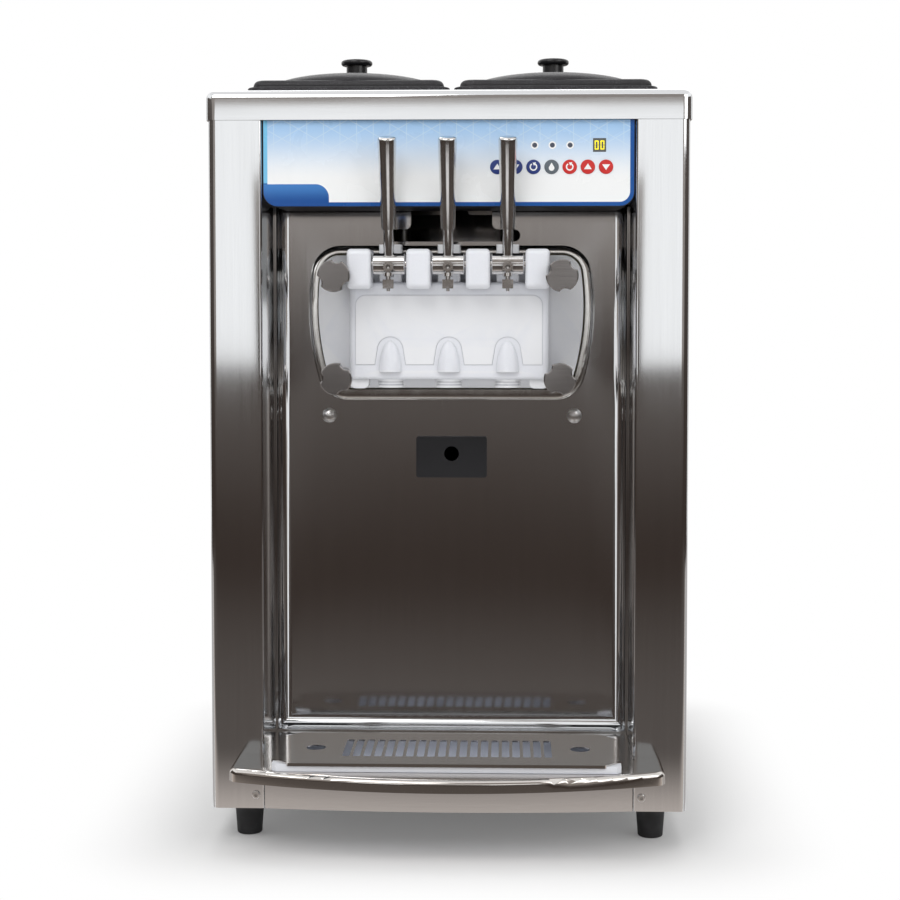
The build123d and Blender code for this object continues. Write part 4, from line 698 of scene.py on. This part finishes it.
class GeometryKit:
    """Geometry Nodes trees and mesh helpers that the sub-assemblies share."""

    @staticmethod
    def start(name: str, **inputs: str) -> tuple[Bench, Sockets]:
        """Makes a geometry tree that takes and gives a geometry.

        Args:
            name: the tree's name.
            inputs: kinds of the further inputs by name.

        Returns:
            The tree's bench and the sockets of its input node.
        """
        tree = bpy.data.node_groups.new(name, "GeometryNodeTree")
        for label, kind in {"Geometry": "Geometry", **inputs}.items():
            tree.interface.new_socket(label, in_out="INPUT", socket_type=f"NodeSocket{kind}")
        tree.interface.new_socket("Geometry", in_out="OUTPUT", socket_type="NodeSocketGeometry")
        bench = Bench(tree)
        return bench, bench.add("NodeGroupInput").outputs

    @staticmethod
    @cache
    def smooth_tree() -> Tree:
        """Builds the tree that joins a node's triangles and smooths its round faces.

        Returns:
            The tree.
        """
        bench, given = GeometryKit.start("smooth_round_faces", Angle="Float")
        joined = bench.add("GeometryNodeMergeByDistance", {"Geometry": given[0], "Distance": MERGE_DISTANCE})
        round_faces = {"Geometry": joined.outputs[0], "Shade Smooth": True}
        smooth = bench.add("GeometryNodeSetShadeSmooth", round_faces, domain="FACE")
        bend = bench.add("GeometryNodeInputMeshEdgeAngle").outputs["Unsigned Angle"]
        compare = bench.add("FunctionNodeCompare", {0: bend, 1: given["Angle"]}, operation="GREATER_THAN")
        sharp = {"Geometry": smooth.outputs[0], "Selection": compare.outputs[0], "Shade Smooth": False}
        done = bench.add("GeometryNodeSetShadeSmooth", sharp, domain="EDGE")
        bench.add("NodeGroupOutput", {0: done.outputs[0]})
        return bench.tree

    @staticmethod
    def plant(bench: Bench, given: Sockets, form: Node, place: Node, **more: object) -> Tree:
        """Moves a form's points, then puts one copy on each point of the tree's geometry.

        Args:
            bench: the tree's bench.
            given: the sockets of the tree's input node.
            form: the node that makes the plain form.
            place: the node that gives the points' new places.
            more: further inputs of the copies.

        Returns:
            The finished tree.
        """
        shaped = bench.add("GeometryNodeSetPosition", {"Geometry": form.outputs[0], "Position": place.outputs[0]})
        copies = {"Points": given[0], "Instance": shaped.outputs[0], **more}
        spots = bench.add("GeometryNodeInstanceOnPoints", copies)
        real = bench.add("GeometryNodeRealizeInstances", {0: spots.outputs[0]})
        smooth = bench.add("GeometryNodeSetShadeSmooth", {"Geometry": real.outputs[0], "Shade Smooth": True})
        dressed = {"Geometry": smooth.outputs[0], "Material": given["Finish"]}
        bench.add("NodeGroupOutput", {0: bench.add("GeometryNodeSetMaterial", dressed).outputs[0]})
        return bench.tree

    @classmethod
    def heads_tree(cls) -> Tree:
        """Builds the tree that puts a domed screw head on each point of a mesh.

        Returns:
            The tree.
        """
        kinds = {"Radius": "Float", "Height": "Float", "Turn": "Vector", "Finish": "Material"}
        bench, given = cls.start("screw_heads", **kinds)
        sizes = {"Radius Top": 0.0, "Radius Bottom": given["Radius"], "Depth": given["Height"]}
        head = bench.add("GeometryNodeMeshCone", {"Vertices": 24, "Side Segments": 3, **sizes}, fill_type="NGON")
        parts = bench.add("ShaderNodeSeparateXYZ", {0: bench.add("GeometryNodeInputPosition").outputs[0]}).outputs
        share = bench.math("DIVIDE", parts["Z"], given["Height"])
        round_out = bench.math("SQRT", bench.math("SUBTRACT", 1.0, bench.math("MULTIPLY", share, share)))
        least = 0.05
        spread = bench.math("DIVIDE", round_out, bench.math("MAXIMUM", bench.math("SUBTRACT", 1.0, share), least))
        wide, deep = (bench.math("MULTIPLY", parts[axis], spread) for axis in ("X", "Y"))
        dome = bench.add("ShaderNodeCombineXYZ", {"X": wide, "Y": deep, "Z": parts["Z"]})
        turn = bench.add("FunctionNodeEulerToRotation", {0: given["Turn"]})
        return cls.plant(bench, given, head, dome, Rotation=turn.outputs[0])

    @classmethod
    def hoods_tree(cls) -> Tree:
        """Builds the tree that bends a louvre hood out of sheet at each point of a mesh.

        Returns:
            The tree.
        """
        kinds = {"Width": "Float", "Height": "Float", "Depth": "Float", "Finish": "Material"}
        bench, given = cls.start("louvre_hoods", **kinds)
        flat = {"Size X": given["Width"], "Size Y": 1.0, "Vertices X": 13, "Vertices Y": 9}
        sheet = bench.add("GeometryNodeMeshGrid", flat)
        parts = bench.add("ShaderNodeSeparateXYZ", {0: bench.add("GeometryNodeInputPosition").outputs[0]}).outputs
        angle = bench.math("MULTIPLY", bench.math("ADD", parts["Y"], 0.5), math.pi / 2)
        reach = bench.math("DIVIDE", bench.math("ABSOLUTE", parts["X"]), given["Width"])
        end_power = 8.0
        fade = bench.math("SUBTRACT", 1.0, bench.math("POWER", bench.math("MULTIPLY", reach, 2.0), end_power))
        out = bench.math("MULTIPLY", bench.math("MULTIPLY", bench.math("COSINE", angle), given["Depth"]), fade)
        rise = bench.math("MULTIPLY", bench.math("SINE", angle), given["Height"])
        bent = bench.add("ShaderNodeCombineXYZ", {"X": parts["X"], "Y": out, "Z": rise})
        return cls.plant(bench, given, sheet, bent)

    @staticmethod
    def grow(name: str, tree: Tree, points: list[Vector], values: dict[str, object]) -> Thing:
        """Runs a tree over some points and keeps the result as a plain mesh.

        Args:
            name: the piece's name.
            tree: the geometry tree.
            points: where the copies go.
            values: the tree's inputs by name.

        Returns:
            The finished object.
        """
        seed_mesh = bpy.data.meshes.new(f"{name}_points")
        seed_mesh.from_pydata([tuple(point) for point in points], [], [])
        seed = stand(f"{name}_points", seed_mesh)
        modifier = grow_by(seed, tree, values)
        graph = bpy.context.evaluated_depsgraph_get()
        mesh = bpy.data.meshes.new_from_object(seed.evaluated_get(graph))
        mesh.name = name
        seed.modifiers.remove(modifier)
        bpy.data.objects.remove(seed)
        return stand(name, mesh)

    @staticmethod
    def plates(name: str, outlines: list[Outline], front: float, back: float, finish: str) -> Thing:
        """Makes a piece of flat plates that stand upright and face the front.

        Args:
            name: the piece's name.
            outlines: each plate's corner points as sideways and upward coordinates.
            front: the plates' front, along Y.
            back: the plates' back, along Y.
            finish: the finish's name.

        Returns:
            The new object.
        """
        shape = bmesh.new()
        for outline in outlines:
            near, far = ([shape.verts.new((x, y, z)) for x, z in outline] for y in (front, back))
            shape.faces.new(near)
            shape.faces.new(far[::-1])
            for index in range(len(outline)):
                after = (index + 1) % len(outline)
                shape.faces.new((near[index], far[index], far[after], near[after]))
        bmesh.ops.recalc_face_normals(shape, faces=shape.faces)
        mesh = bpy.data.meshes.new(name)
        shape.to_mesh(mesh)
        shape.free()
        mesh.materials.append(Finishes.get(finish))
        return stand(name, mesh)


def finish_piece(piece: Thing, body: str) -> None:
    """Hands a new piece to the frame.

    Args:
        piece: the piece, in place.
        body: the body that it moves with.
    """
    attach(piece, body)
    log.info("%s rides on %s", piece.name, body)


def dress_node(node: Thing, finish: str) -> None:
    """Gives a node its finish and smooth round faces.

    Args:
        node: the node's object.
        finish: the finish's name.
    """
    node.data.materials.clear()
    node.data.materials.append(Finishes.get(finish))
    grow_by(node, GeometryKit.smooth_tree(), {"Angle": SHARP_ANGLE})
    log.info("%s wears %s", node.name, finish)


@dataclass
class NodeSet:
    """A sub-assembly whose solids have their final shape and take their finishes by name."""

    nodes: dict[str, Thing]
    finishes = {}

    def build(self) -> None:
        """Dresses every solid of the set."""
        for name, finish in self.finishes.items():
            dress_node(self.nodes[name], finish)


@dataclass
class Cabinet(NodeSet):
    """Sheet metal body with its feet, rear louvres and panel screws."""

    head_radius: float = 4.0 * MM
    head_height: float = 1.6 * MM
    edge_inset: float = 9.0 * MM
    heads_per_side: int = 5
    louvre_rows: int = 9
    louvre_pitch: float = 22.0 * MM
    louvre_start: float = 97.2 * MM
    louvre_width: float = 151.0 * MM
    louvre_spread: float = 85.0 * MM
    hood_height: float = 8.0 * MM
    hood_depth: float = 4.5 * MM
    hood_lift: float = 2.0 * MM
    hood_sheet: float = 0.8 * MM
    finishes = {
        "left_side_panel": "steel_upright",
        "right_side_panel": "steel_upright",
        "rear_panel": "steel_upright",
        "splash_panel": "steel_upright",
        "top_cover": "steel_across",
        "front_rail": "steel_across",
        "door_surround": "steel_pressed",
        "panel_screws": "steel_satin",
        "base_pan": "steel_inner",
        "feet": "black_rubber",
        "power_inlet": "black_drawer",
    }

    def build(self) -> None:
        """Dresses the body and adds its small fittings."""
        super().build()
        self.rear_screws()
        self.louvres()

    def rear_screws(self) -> None:
        """Puts screw heads round the edge of the rear panel."""
        low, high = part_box("rear_panel")
        pitch = (high.z - low.z - 4 * self.edge_inset) / (self.heads_per_side - 1)
        rows = [low.z + self.edge_inset + index * pitch for index in range(self.heads_per_side)]
        columns = [low.x + self.edge_inset, high.x - self.edge_inset]
        points = [Vector((x, high.y, z)) for x in columns for z in rows]
        values = {
            "Radius": self.head_radius, "Height": self.head_height, "Turn": (-math.pi / 2, 0.0, 0.0),
            "Finish": Finishes.get("steel_turned"),
        }
        piece = GeometryKit.grow("rear_panel_screws", GeometryKit.heads_tree(), points, values)
        finish_piece(piece, CABINET)

    def louvres(self) -> None:
        """Bends a hood over each slot of the rear panel."""
        low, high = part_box("rear_panel")
        points = []
        for side in (-1, 1):
            for row in range(self.louvre_rows):
                height = low.z + self.louvre_start - self.edge_inset + row * self.louvre_pitch + self.hood_lift
                points.append(Vector((side * self.louvre_spread, high.y, height)))
        values = {
            "Width": self.louvre_width, "Height": self.hood_height, "Depth": self.hood_depth,
            "Finish": Finishes.get("steel_upright"),
        }
        piece = GeometryKit.grow("louvre_hoods", GeometryKit.hoods_tree(), points, values)
        piece.modifiers.new("sheet", "SOLIDIFY").thickness = self.hood_sheet
        finish_piece(piece, CABINET)


def polar(radius: float, turn: float) -> tuple[float, float]:
    """Returns the point at a radius and a turn in radians."""
    return radius * math.cos(turn), radius * math.sin(turn)


def ring(outer: float, inner: float, turns: list[float]) -> list[Outline]:
    """Cuts a ring into quads.

    Args:
        outer: the ring's outer radius.
        inner: its inner radius.
        turns: where the cuts are, in radians.

    Returns:
        The quads about the ring's middle.
    """
    quads = []
    for first, second in zip(turns, turns[1:]):
        corners = [(outer, first), (inner, first), (inner, second), (outer, second)]
        quads.append([polar(radius, turn) for radius, turn in corners])
    return quads


def moved(outlines: list[Outline], across: float, up: float) -> list[Outline]:
    """Returns outlines shifted sideways and upwards."""
    return [[(across + x, up + z) for x, z in outline] for outline in outlines]


@dataclass
class ControlPanel:
    """Key panel: printed film, keys with signs, lamps and a two-figure display."""

    nodes: dict[str, Thing]
    signs: tuple[Icon, ...] = (Icon.UP, Icon.DOWN, Icon.CYCLE, Icon.DROP, Icon.CYCLE, Icon.UP, Icon.DOWN)
    caps: tuple[str, ...] = ("blue_key",) * 3 + ("grey_key",) + ("red_key",) * 3
    slots: tuple[str, ...] = ("key_blue",) * 3 + ("key_grey",) + ("key_red",) * 3
    sign_reach: float = 4.3 * MM
    sign_stroke: float = 1.5 * MM
    sign_depth: float = 0.12 * MM
    sign_sink: float = 0.05 * MM
    figure_width: float = 4.4 * MM
    figure_height: float = 10.0 * MM
    figure_stroke: float = 1.2 * MM
    figure_gap: float = 2.0 * MM
    halo_outer: float = 4.3 * MM
    halo_inner: float = 2.75 * MM
    window_size: float = 14.2 * MM
    window_depth: float = 0.03 * MM
    lamp_count: int = 3
    lamp_inset: float = 2.5 * MM
    lamp_pitch: float = 19.6 * MM
    print_depth: float = 0.04 * MM
    print_sink: float = 0.02 * MM
    cycle_start: float = 60.0
    cycle_turn: float = 300.0
    cycle_steps: int = 30

    def build(self) -> None:
        """Dresses the panel and adds signs, figures and halos."""
        low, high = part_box("control_overlay")
        film = PrintedFilm("printed_film", tuple(low), tuple(high))
        Finishes.made[film.name] = film.build()
        dress_node(self.nodes["control_overlay"], film.name)
        dress_node(self.nodes["control_fascia"], "black_fascia")
        dress_node(self.nodes["display_and_lamps"], "lamp_cap")
        dress_node(self.nodes["control_board"], "green_board")
        for number, (sign, cap, slot) in enumerate(zip(self.signs, self.caps, self.slots), start=1):
            dress_node(self.nodes[f"key_{number}"], cap)
            self.key_sign(number, sign)
        self.figures()
        self.halos()

    def key_sign(self, number: int, sign: Icon) -> None:
        """Sets one sign on its key cap.

        Args:
            number: the key's number.
            sign: the sign to make.
        """
        low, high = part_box(f"key_{number}")
        centre = (low + high) / 2
        outlines = moved(self.sign_outlines(sign), centre.x, centre.z)
        front, back = low.y - self.sign_depth, low.y + self.sign_sink
        piece = GeometryKit.plates(f"key_{number}_sign", outlines, front, back, "white_sign")
        finish_piece(piece, f"key_{number}")

    def sign_outlines(self, sign: Icon) -> list[Outline]:
        """Draws a sign.

        Args:
            sign: the sign to draw.

        Returns:
            Closed outlines about the cap's middle.
        """
        reach = self.sign_reach
        if sign in (Icon.UP, Icon.DOWN):
            flip = 1 if sign is Icon.UP else -1
            points = [(-reach, -0.62 * reach), (reach, -0.62 * reach), (0.0, 0.86 * reach)]
            return [[(x, flip * z) for x, z in points[::flip]]]
        if sign is Icon.DROP:
            bowl = [polar(0.72 * reach, math.radians(turn)) for turn in range(150, 391, 12)]
            return [[(x, z - 0.3 * reach) for x, z in bowl] + [(0.0, 1.1 * reach)]]
        return self.cycle_outlines(reach)

    def cycle_outlines(self, reach: float) -> list[Outline]:
        """Draws a round arrow.

        Args:
            reach: the arrow's radius.

        Returns:
            Quads of the ring and the head's triangle.
        """
        step = self.cycle_turn / self.cycle_steps
        turns = [math.radians(self.cycle_start - index * step) for index in range(self.cycle_steps + 1)]
        quads = ring(reach, reach - self.sign_stroke, turns)
        tip = math.radians(self.cycle_start)
        base = polar(reach - self.sign_stroke / 2, tip)
        head = 1.5 * self.sign_stroke
        ways = [(head, tip), (head, tip + math.pi), (1.4 * head, tip + math.pi / 2)]
        return quads + moved([[polar(size, turn) for size, turn in ways]], *base)

    def figures(self) -> None:
        """Lights two noughts in the display window."""
        low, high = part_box("display_and_lamps")
        half = self.window_size / 2
        window = high.x - half
        middle = (low.z + high.z) / 2
        bars = []
        for side in (-1, 1):
            left = window + side * (self.figure_width + self.figure_gap) / 2 - self.figure_width / 2
            bars += self.figure_bars(left, middle - self.figure_height / 2)
        front, back = low.y - self.sign_depth, low.y + self.sign_sink
        piece = GeometryKit.plates("display_figures", bars, front, back, "lit_segment")
        finish_piece(piece, CABINET)
        corners = [(-half, -half), (half, -half), (half, half), (-half, half)]
        front, back = low.y - self.window_depth, low.y + self.print_sink
        piece = GeometryKit.plates("display_window", moved([corners], window, middle), front, back, "dark_lens")
        finish_piece(piece, CABINET)

    def figure_bars(self, left: float, base: float) -> list[Outline]:
        """Draws the six bars of a nought.

        Args:
            left: the figure's left edge.
            base: the figure's foot.

        Returns:
            The outline of each bar.
        """
        stroke = self.figure_stroke
        right = left + self.figure_width
        half = self.figure_height / 2
        gap, slant = 0.18 * stroke, 0.5 * stroke
        bars = []
        for foot in (base, base + self.figure_height - stroke):
            x0, x1, top = left + gap, right - gap, foot + stroke
            bars.append([(x0, foot), (x1, foot), (x1 - slant, top), (x0 + slant, top)])
        for side in (left, right - stroke):
            for foot in (base, base + half):
                z0, z1 = foot + gap, foot + half - gap
                bars.append([(side, z0), (side + stroke, z0), (side + stroke, z1), (side, z1)])
        return bars

    def halos(self) -> None:
        """Rings each lamp with a white print."""
        low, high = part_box("display_and_lamps")
        film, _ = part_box("control_overlay")
        turns = [math.radians(step * 15) for step in range(25)]
        halo = ring(self.halo_outer, self.halo_inner, turns)
        quads = []
        for index in range(self.lamp_count):
            quads += moved(halo, low.x + self.lamp_inset + index * self.lamp_pitch, (low.z + high.z) / 2)
        front, back = film.y - self.print_depth, film.y + self.print_sink
        piece = GeometryKit.plates("lamp_halos", quads, front, back, "white_sign")
        finish_piece(piece, CABINET)


@dataclass
class MixTop(NodeSet):
    """Hoppers with their lids, knobs and feed tubes."""

    finishes = {"mix_feed_tubes": "steel_inner"} | {
        f"{side}_{part}": finish
        for side in ("left", "right")
        for part, finish in (("hopper", "steel_across"), ("lid", "black_lid"), ("lid_knob", "black_knob"))
    }


@dataclass
class DrawDoor(NodeSet):
    """White door with its levers, plungers, outlets and hand screws."""

    parts = (("handle_lever", "steel_turned"), ("handle_grip", "steel_grip"), ("draw_plunger", "white_door"))
    finishes = {
        "draw_door": "white_door",
        "outlet_nozzles": "white_door",
        "pivot_rod": "steel_turned",
        "door_gaskets": "black_rubber",
    } | {
        f"{part}_{place}": finish for part, finish in parts for place in ("left", "centre", "right")
    } | {
        f"hand_screw_{high}_{side}": "steel_hand_screw" for high in ("top", "bottom") for side in ("left", "right")
    }


@dataclass
class DripStation(NodeSet):
    """Drip shelf, tray, grille and drawer."""

    finishes = {
        "drip_shelf": "steel_shelf",
        "drip_tray": "white_tray",
        "tray_grille": "steel_shelf",
        "drip_drawer": "black_drawer",
        "drawer_sleeve": "steel_inner",
    }


@dataclass
class Machinery(NodeSet):
    """What freezes and drives inside the cabinet."""

    finishes = {
        "freezing_barrels": "steel_inner",
        "barrel_jacket": "foam_jacket",
        "left_beater": "steel_turned",
        "right_beater": "steel_turned",
        "gear_motors": "grey_drive",
        "compressor": "black_shell",
        "condenser": "fin_metal",
        "fan_motor": "grey_drive",
        "fan_blade": "black_knob",
    }


# Greys of the cards, from dark to light and warm, and the turns in which cards hang.
DIM: Colour = (0.042, 0.031, 0.026)
DUSK: Colour = (0.098, 0.084, 0.076)
HAZE: Colour = (0.28, 0.25, 0.23)
PEARL: Colour = (0.85, 0.84, 0.84)
MIST: Colour = (0.46, 0.44, 0.43)
WARM: Colour = (0.52, 0.46, 0.42)
WHITE = opaque((1.0, 1.0, 1.0))
UPRIGHT: Size3 = (90.0, 0.0, 0.0)
SIDEWAYS: Size3 = (90.0, 0.0, 90.0)
FLAT: Size3 = (0.0, 0.0, 0.0)
# Where the wall of cards stands, how wide it is, how high floor cards lie and what the lamps aim at, in metres.
WALL = -2.46
ROOM = 7.0
LIFT = 0.004
AIM = Vector((0.0, 0.0, 0.42))


def sheet(name: str, width: float, depth: float) -> tuple[Thing, Bench]:
    """Lays a flat rectangle with a bare material of its own.

    Args:
        name: the name of the object, its mesh and its material.
        width: its size along X.
        depth: its size along Y.

    Returns:
        The object and its material's bench.
    """
    x, y = width / 2, depth / 2
    mesh = bpy.data.meshes.new(name)
    mesh.from_pydata([(-x, -y, 0), (x, -y, 0), (x, y, 0), (-x, y, 0)], [], [(0, 1, 2, 3)])
    material, bench = bare_material(name)
    mesh.materials.append(material)
    return stand(name, mesh), bench


@dataclass(frozen=True)
class Card:
    """Flat card that only mirrors see, as a studio flag or reflector."""

    name: str
    centre: Size3
    size: tuple[float, float]
    turn: Size3
    low: Colour
    high: Colour

    def build(self) -> None:
        """Places the card in the studio, shaded from its low to its high end."""
        card, bench = sheet(self.name, *self.size)
        card.location = self.centre
        card.rotation_euler = [math.radians(angle) for angle in self.turn]
        half = self.size[1] / 2
        along = bench.add("ShaderNodeSeparateXYZ", {0: bench.place()}).outputs["Y"]
        shade = bench.mix(bench.ramp(along, -half, half), self.low, self.high)
        glow = bench.add("ShaderNodeEmission", {"Color": shade, "Strength": 1.0})
        bench.add("ShaderNodeOutputMaterial", {"Surface": glow.outputs[0]})
        card.visible_camera = False
        card.visible_diffuse = False
        card.visible_shadow = False
        card.visible_transmission = False


@dataclass(frozen=True)
class Lamp:
    """Soft area lamp aimed at the machine's middle, its power in watts."""

    name: str
    place: Size3
    size: tuple[float, float]
    power: float

    def build(self) -> None:
        """Hangs the lamp."""
        data = bpy.data.lights.new(self.name, "AREA")
        data.shape = "RECTANGLE"
        data.size, data.size_y = self.size
        data.energy = self.power
        lamp = stand(self.name, data)
        lamp.location = self.place
        lamp.rotation_euler = (AIM - Vector(self.place)).to_track_quat("-Z", "Y").to_euler()


@dataclass
class Studio:
    """White sweep, soft lamps, mirror cards and the camera."""

    front: float
    floor_size: float = 14.0
    floor_colour: Colour = (0.93, 0.93, 0.93)
    floor_roughness: float = 0.75
    foot_middle: tuple[float, float] = (0.0, 0.05)
    foot_half: tuple[float, float] = (0.25, 0.31)
    shadow_reach: float = 0.20
    shadow_lift: float = 0.10
    fill: float = 0.52
    deep_loss: float = 0.75
    deep_bounce: float = 2.5
    camera_back: float = 2.0
    camera_side: float = 0.064
    camera_height: float = 0.613
    yaw: float = 1.83
    lens: float = 71.9
    pitch: float = 2.75
    shift_x: float = 0.0020
    shift_y: float = -0.0697
    sensor: float = 36.0
    lamps: tuple[Lamp, ...] = (
        Lamp("key_lamp", (-0.9, -1.9, 2.3), (1.6, 1.2), 20.0),
        Lamp("fill_lamp", (1.5, -1.6, 1.5), (1.2, 1.2), 8.0),
        Lamp("top_lamp", (0.0, 0.3, 2.6), (2.0, 2.0), 14.0),
        Lamp("back_lamp", (0.0, 2.2, 1.8), (2.0, 1.4), 12.0),
    )
    cards: tuple[Card, ...] = (
        Card("low_flag", (0.0, WALL, 0.23), (ROOM, 0.46), UPRIGHT, DIM, DUSK),
        Card("high_flag", (0.0, WALL, 2.295), (ROOM, 2.21), UPRIGHT, HAZE, HAZE),
        Card("bay_flag", (-0.07, -2.45, 0.68), (0.70, 0.44), UPRIGHT, DIM, HAZE),
        Card("grip_card", (0.0, -0.62, 0.565), (0.25, 0.1), UPRIGHT, PEARL, PEARL),
        Card("left_wing", (-2.23, WALL, 0.84), (2.54, 0.76), UPRIGHT, HAZE, HAZE),
        Card("right_wing", (2.16, WALL, 0.84), (2.68, 0.76), UPRIGHT, HAZE, HAZE),
        Card("floor_flag", (0.0, -1.57, LIFT), (ROOM, 1.78), FLAT, DIM, DUSK),
        Card("near_flag", (0.0, -0.49, LIFT), (ROOM, 0.38), FLAT, DUSK, WARM),
        Card("left_flag", (-2.4, -0.8, 0.75), (3.6, 1.5), SIDEWAYS, DIM, DUSK),
        Card("right_flag", (2.4, -0.8, 0.75), (3.6, 1.5), SIDEWAYS, DIM, DUSK),
        Card("left_floor", (-1.39, 0.5, LIFT), (2.02, 1.56), FLAT, MIST, MIST),
        Card("right_floor", (1.39, 0.5, LIFT), (2.02, 1.56), FLAT, MIST, MIST),
        Card("back_floor", (0.0, 1.6, 0.005), (4.8, 2.2), FLAT, MIST, MIST),
        Card("back_flag", (0.0, 2.7, 0.9), (6.0, 1.8), UPRIGHT, HAZE, MIST),
        Card("top_flag", (0.0, -0.1, 2.4), (4.0, 2.2), FLAT, PEARL, PEARL),
    )

    def build(self) -> None:
        """Sets up floor, world, lamps, cards and camera."""
        self.floor()
        self.world()
        for thing in self.lamps + self.cards:
            thing.build()
        self.camera()

    def floor(self) -> None:
        """Lays the white floor, which keeps the machine's shadow and fades to plain white further off."""
        floor, bench = sheet("studio_floor", self.floor_size, self.floor_size)
        colours = {"Base Color": opaque(self.floor_colour), "Roughness": self.floor_roughness}
        shader = bench.add("ShaderNodeBsdfPrincipled", colours)
        white = bench.add("ShaderNodeEmission", {"Color": WHITE, "Strength": 1.0})
        spot = bench.add("ShaderNodeSeparateXYZ", {0: bench.place()}).outputs
        offsets = [bench.math("SUBTRACT", spot[axis], middle) for axis, middle in zip("XY", self.foot_middle)]
        fade = bench.ramp(bench.outside(*offsets, *self.foot_half), 0.0, self.shadow_reach)
        ray = bench.add("ShaderNodeLightPath").outputs
        seen = bench.math("MAXIMUM", ray["Is Camera Ray"], ray["Is Glossy Ray"])
        share = bench.math("MULTIPLY", bench.math("MAXIMUM", fade, self.shadow_lift), seen)
        mixed = bench.add("ShaderNodeMixShader", {0: share, 1: shader.outputs[0], 2: white.outputs[0]})
        bench.add("ShaderNodeOutputMaterial", {"Surface": mixed.outputs[0]})

    def world(self) -> None:
        """Makes the surroundings white to the eye and in mirrors, dimmer between mirrors and a soft fill elsewhere."""
        world = bpy.data.worlds.new("studio_world")
        bpy.context.scene.world = world
        world.use_nodes = True
        bench = Bench(world.node_tree)
        ray = bench.add("ShaderNodeLightPath").outputs
        seen = bench.math("MAXIMUM", ray["Is Camera Ray"], ray["Is Glossy Ray"])
        seen = bench.math("MAXIMUM", seen, ray["Is Transmission Ray"])
        deep = bench.math("GREATER_THAN", ray["Ray Depth"], self.deep_bounce)
        deep = bench.math("MULTIPLY", deep, ray["Is Glossy Ray"])
        share = bench.math("SUBTRACT", 1.0, bench.math("MULTIPLY", deep, self.deep_loss))
        strength = bench.math("MULTIPLY", bench.scaled(seen, 1.0 - self.fill, self.fill), share)
        back = bench.add("ShaderNodeBackground", {"Color": WHITE, "Strength": strength})
        bench.add("ShaderNodeOutputWorld", {"Surface": back.outputs[0]})

    def camera(self) -> None:
        """Stands the camera where the photograph was taken from."""
        data = bpy.data.cameras.new("photo_camera")
        data.lens = self.lens
        data.sensor_width = self.sensor
        data.shift_x = self.shift_x
        data.shift_y = self.shift_y
        camera = stand("photo_camera", data)
        camera.location = (self.camera_side, self.front - self.camera_back, self.camera_height)
        camera.rotation_euler = (math.radians(90.0 - self.pitch), 0.0, math.radians(self.yaw))
        bpy.context.scene.camera = camera


def main() -> None:
    """Loads the frame, dresses each sub-assembly and sets up the studio."""
    logging.basicConfig(level=logging.INFO, format="%(message)s")
    for thing in list(bpy.data.objects):
        bpy.data.objects.remove(thing)
    bpy.context.scene.view_settings.view_transform = "Standard"
    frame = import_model()
    nodes = frame["nodes"]
    for part in (Cabinet, ControlPanel, MixTop, DrawDoor, DripStation, Machinery):
        part(nodes).build()
    pillar_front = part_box("left_side_panel")[0].y
    Studio(pillar_front).build()


if __name__ == "__main__":
    main()
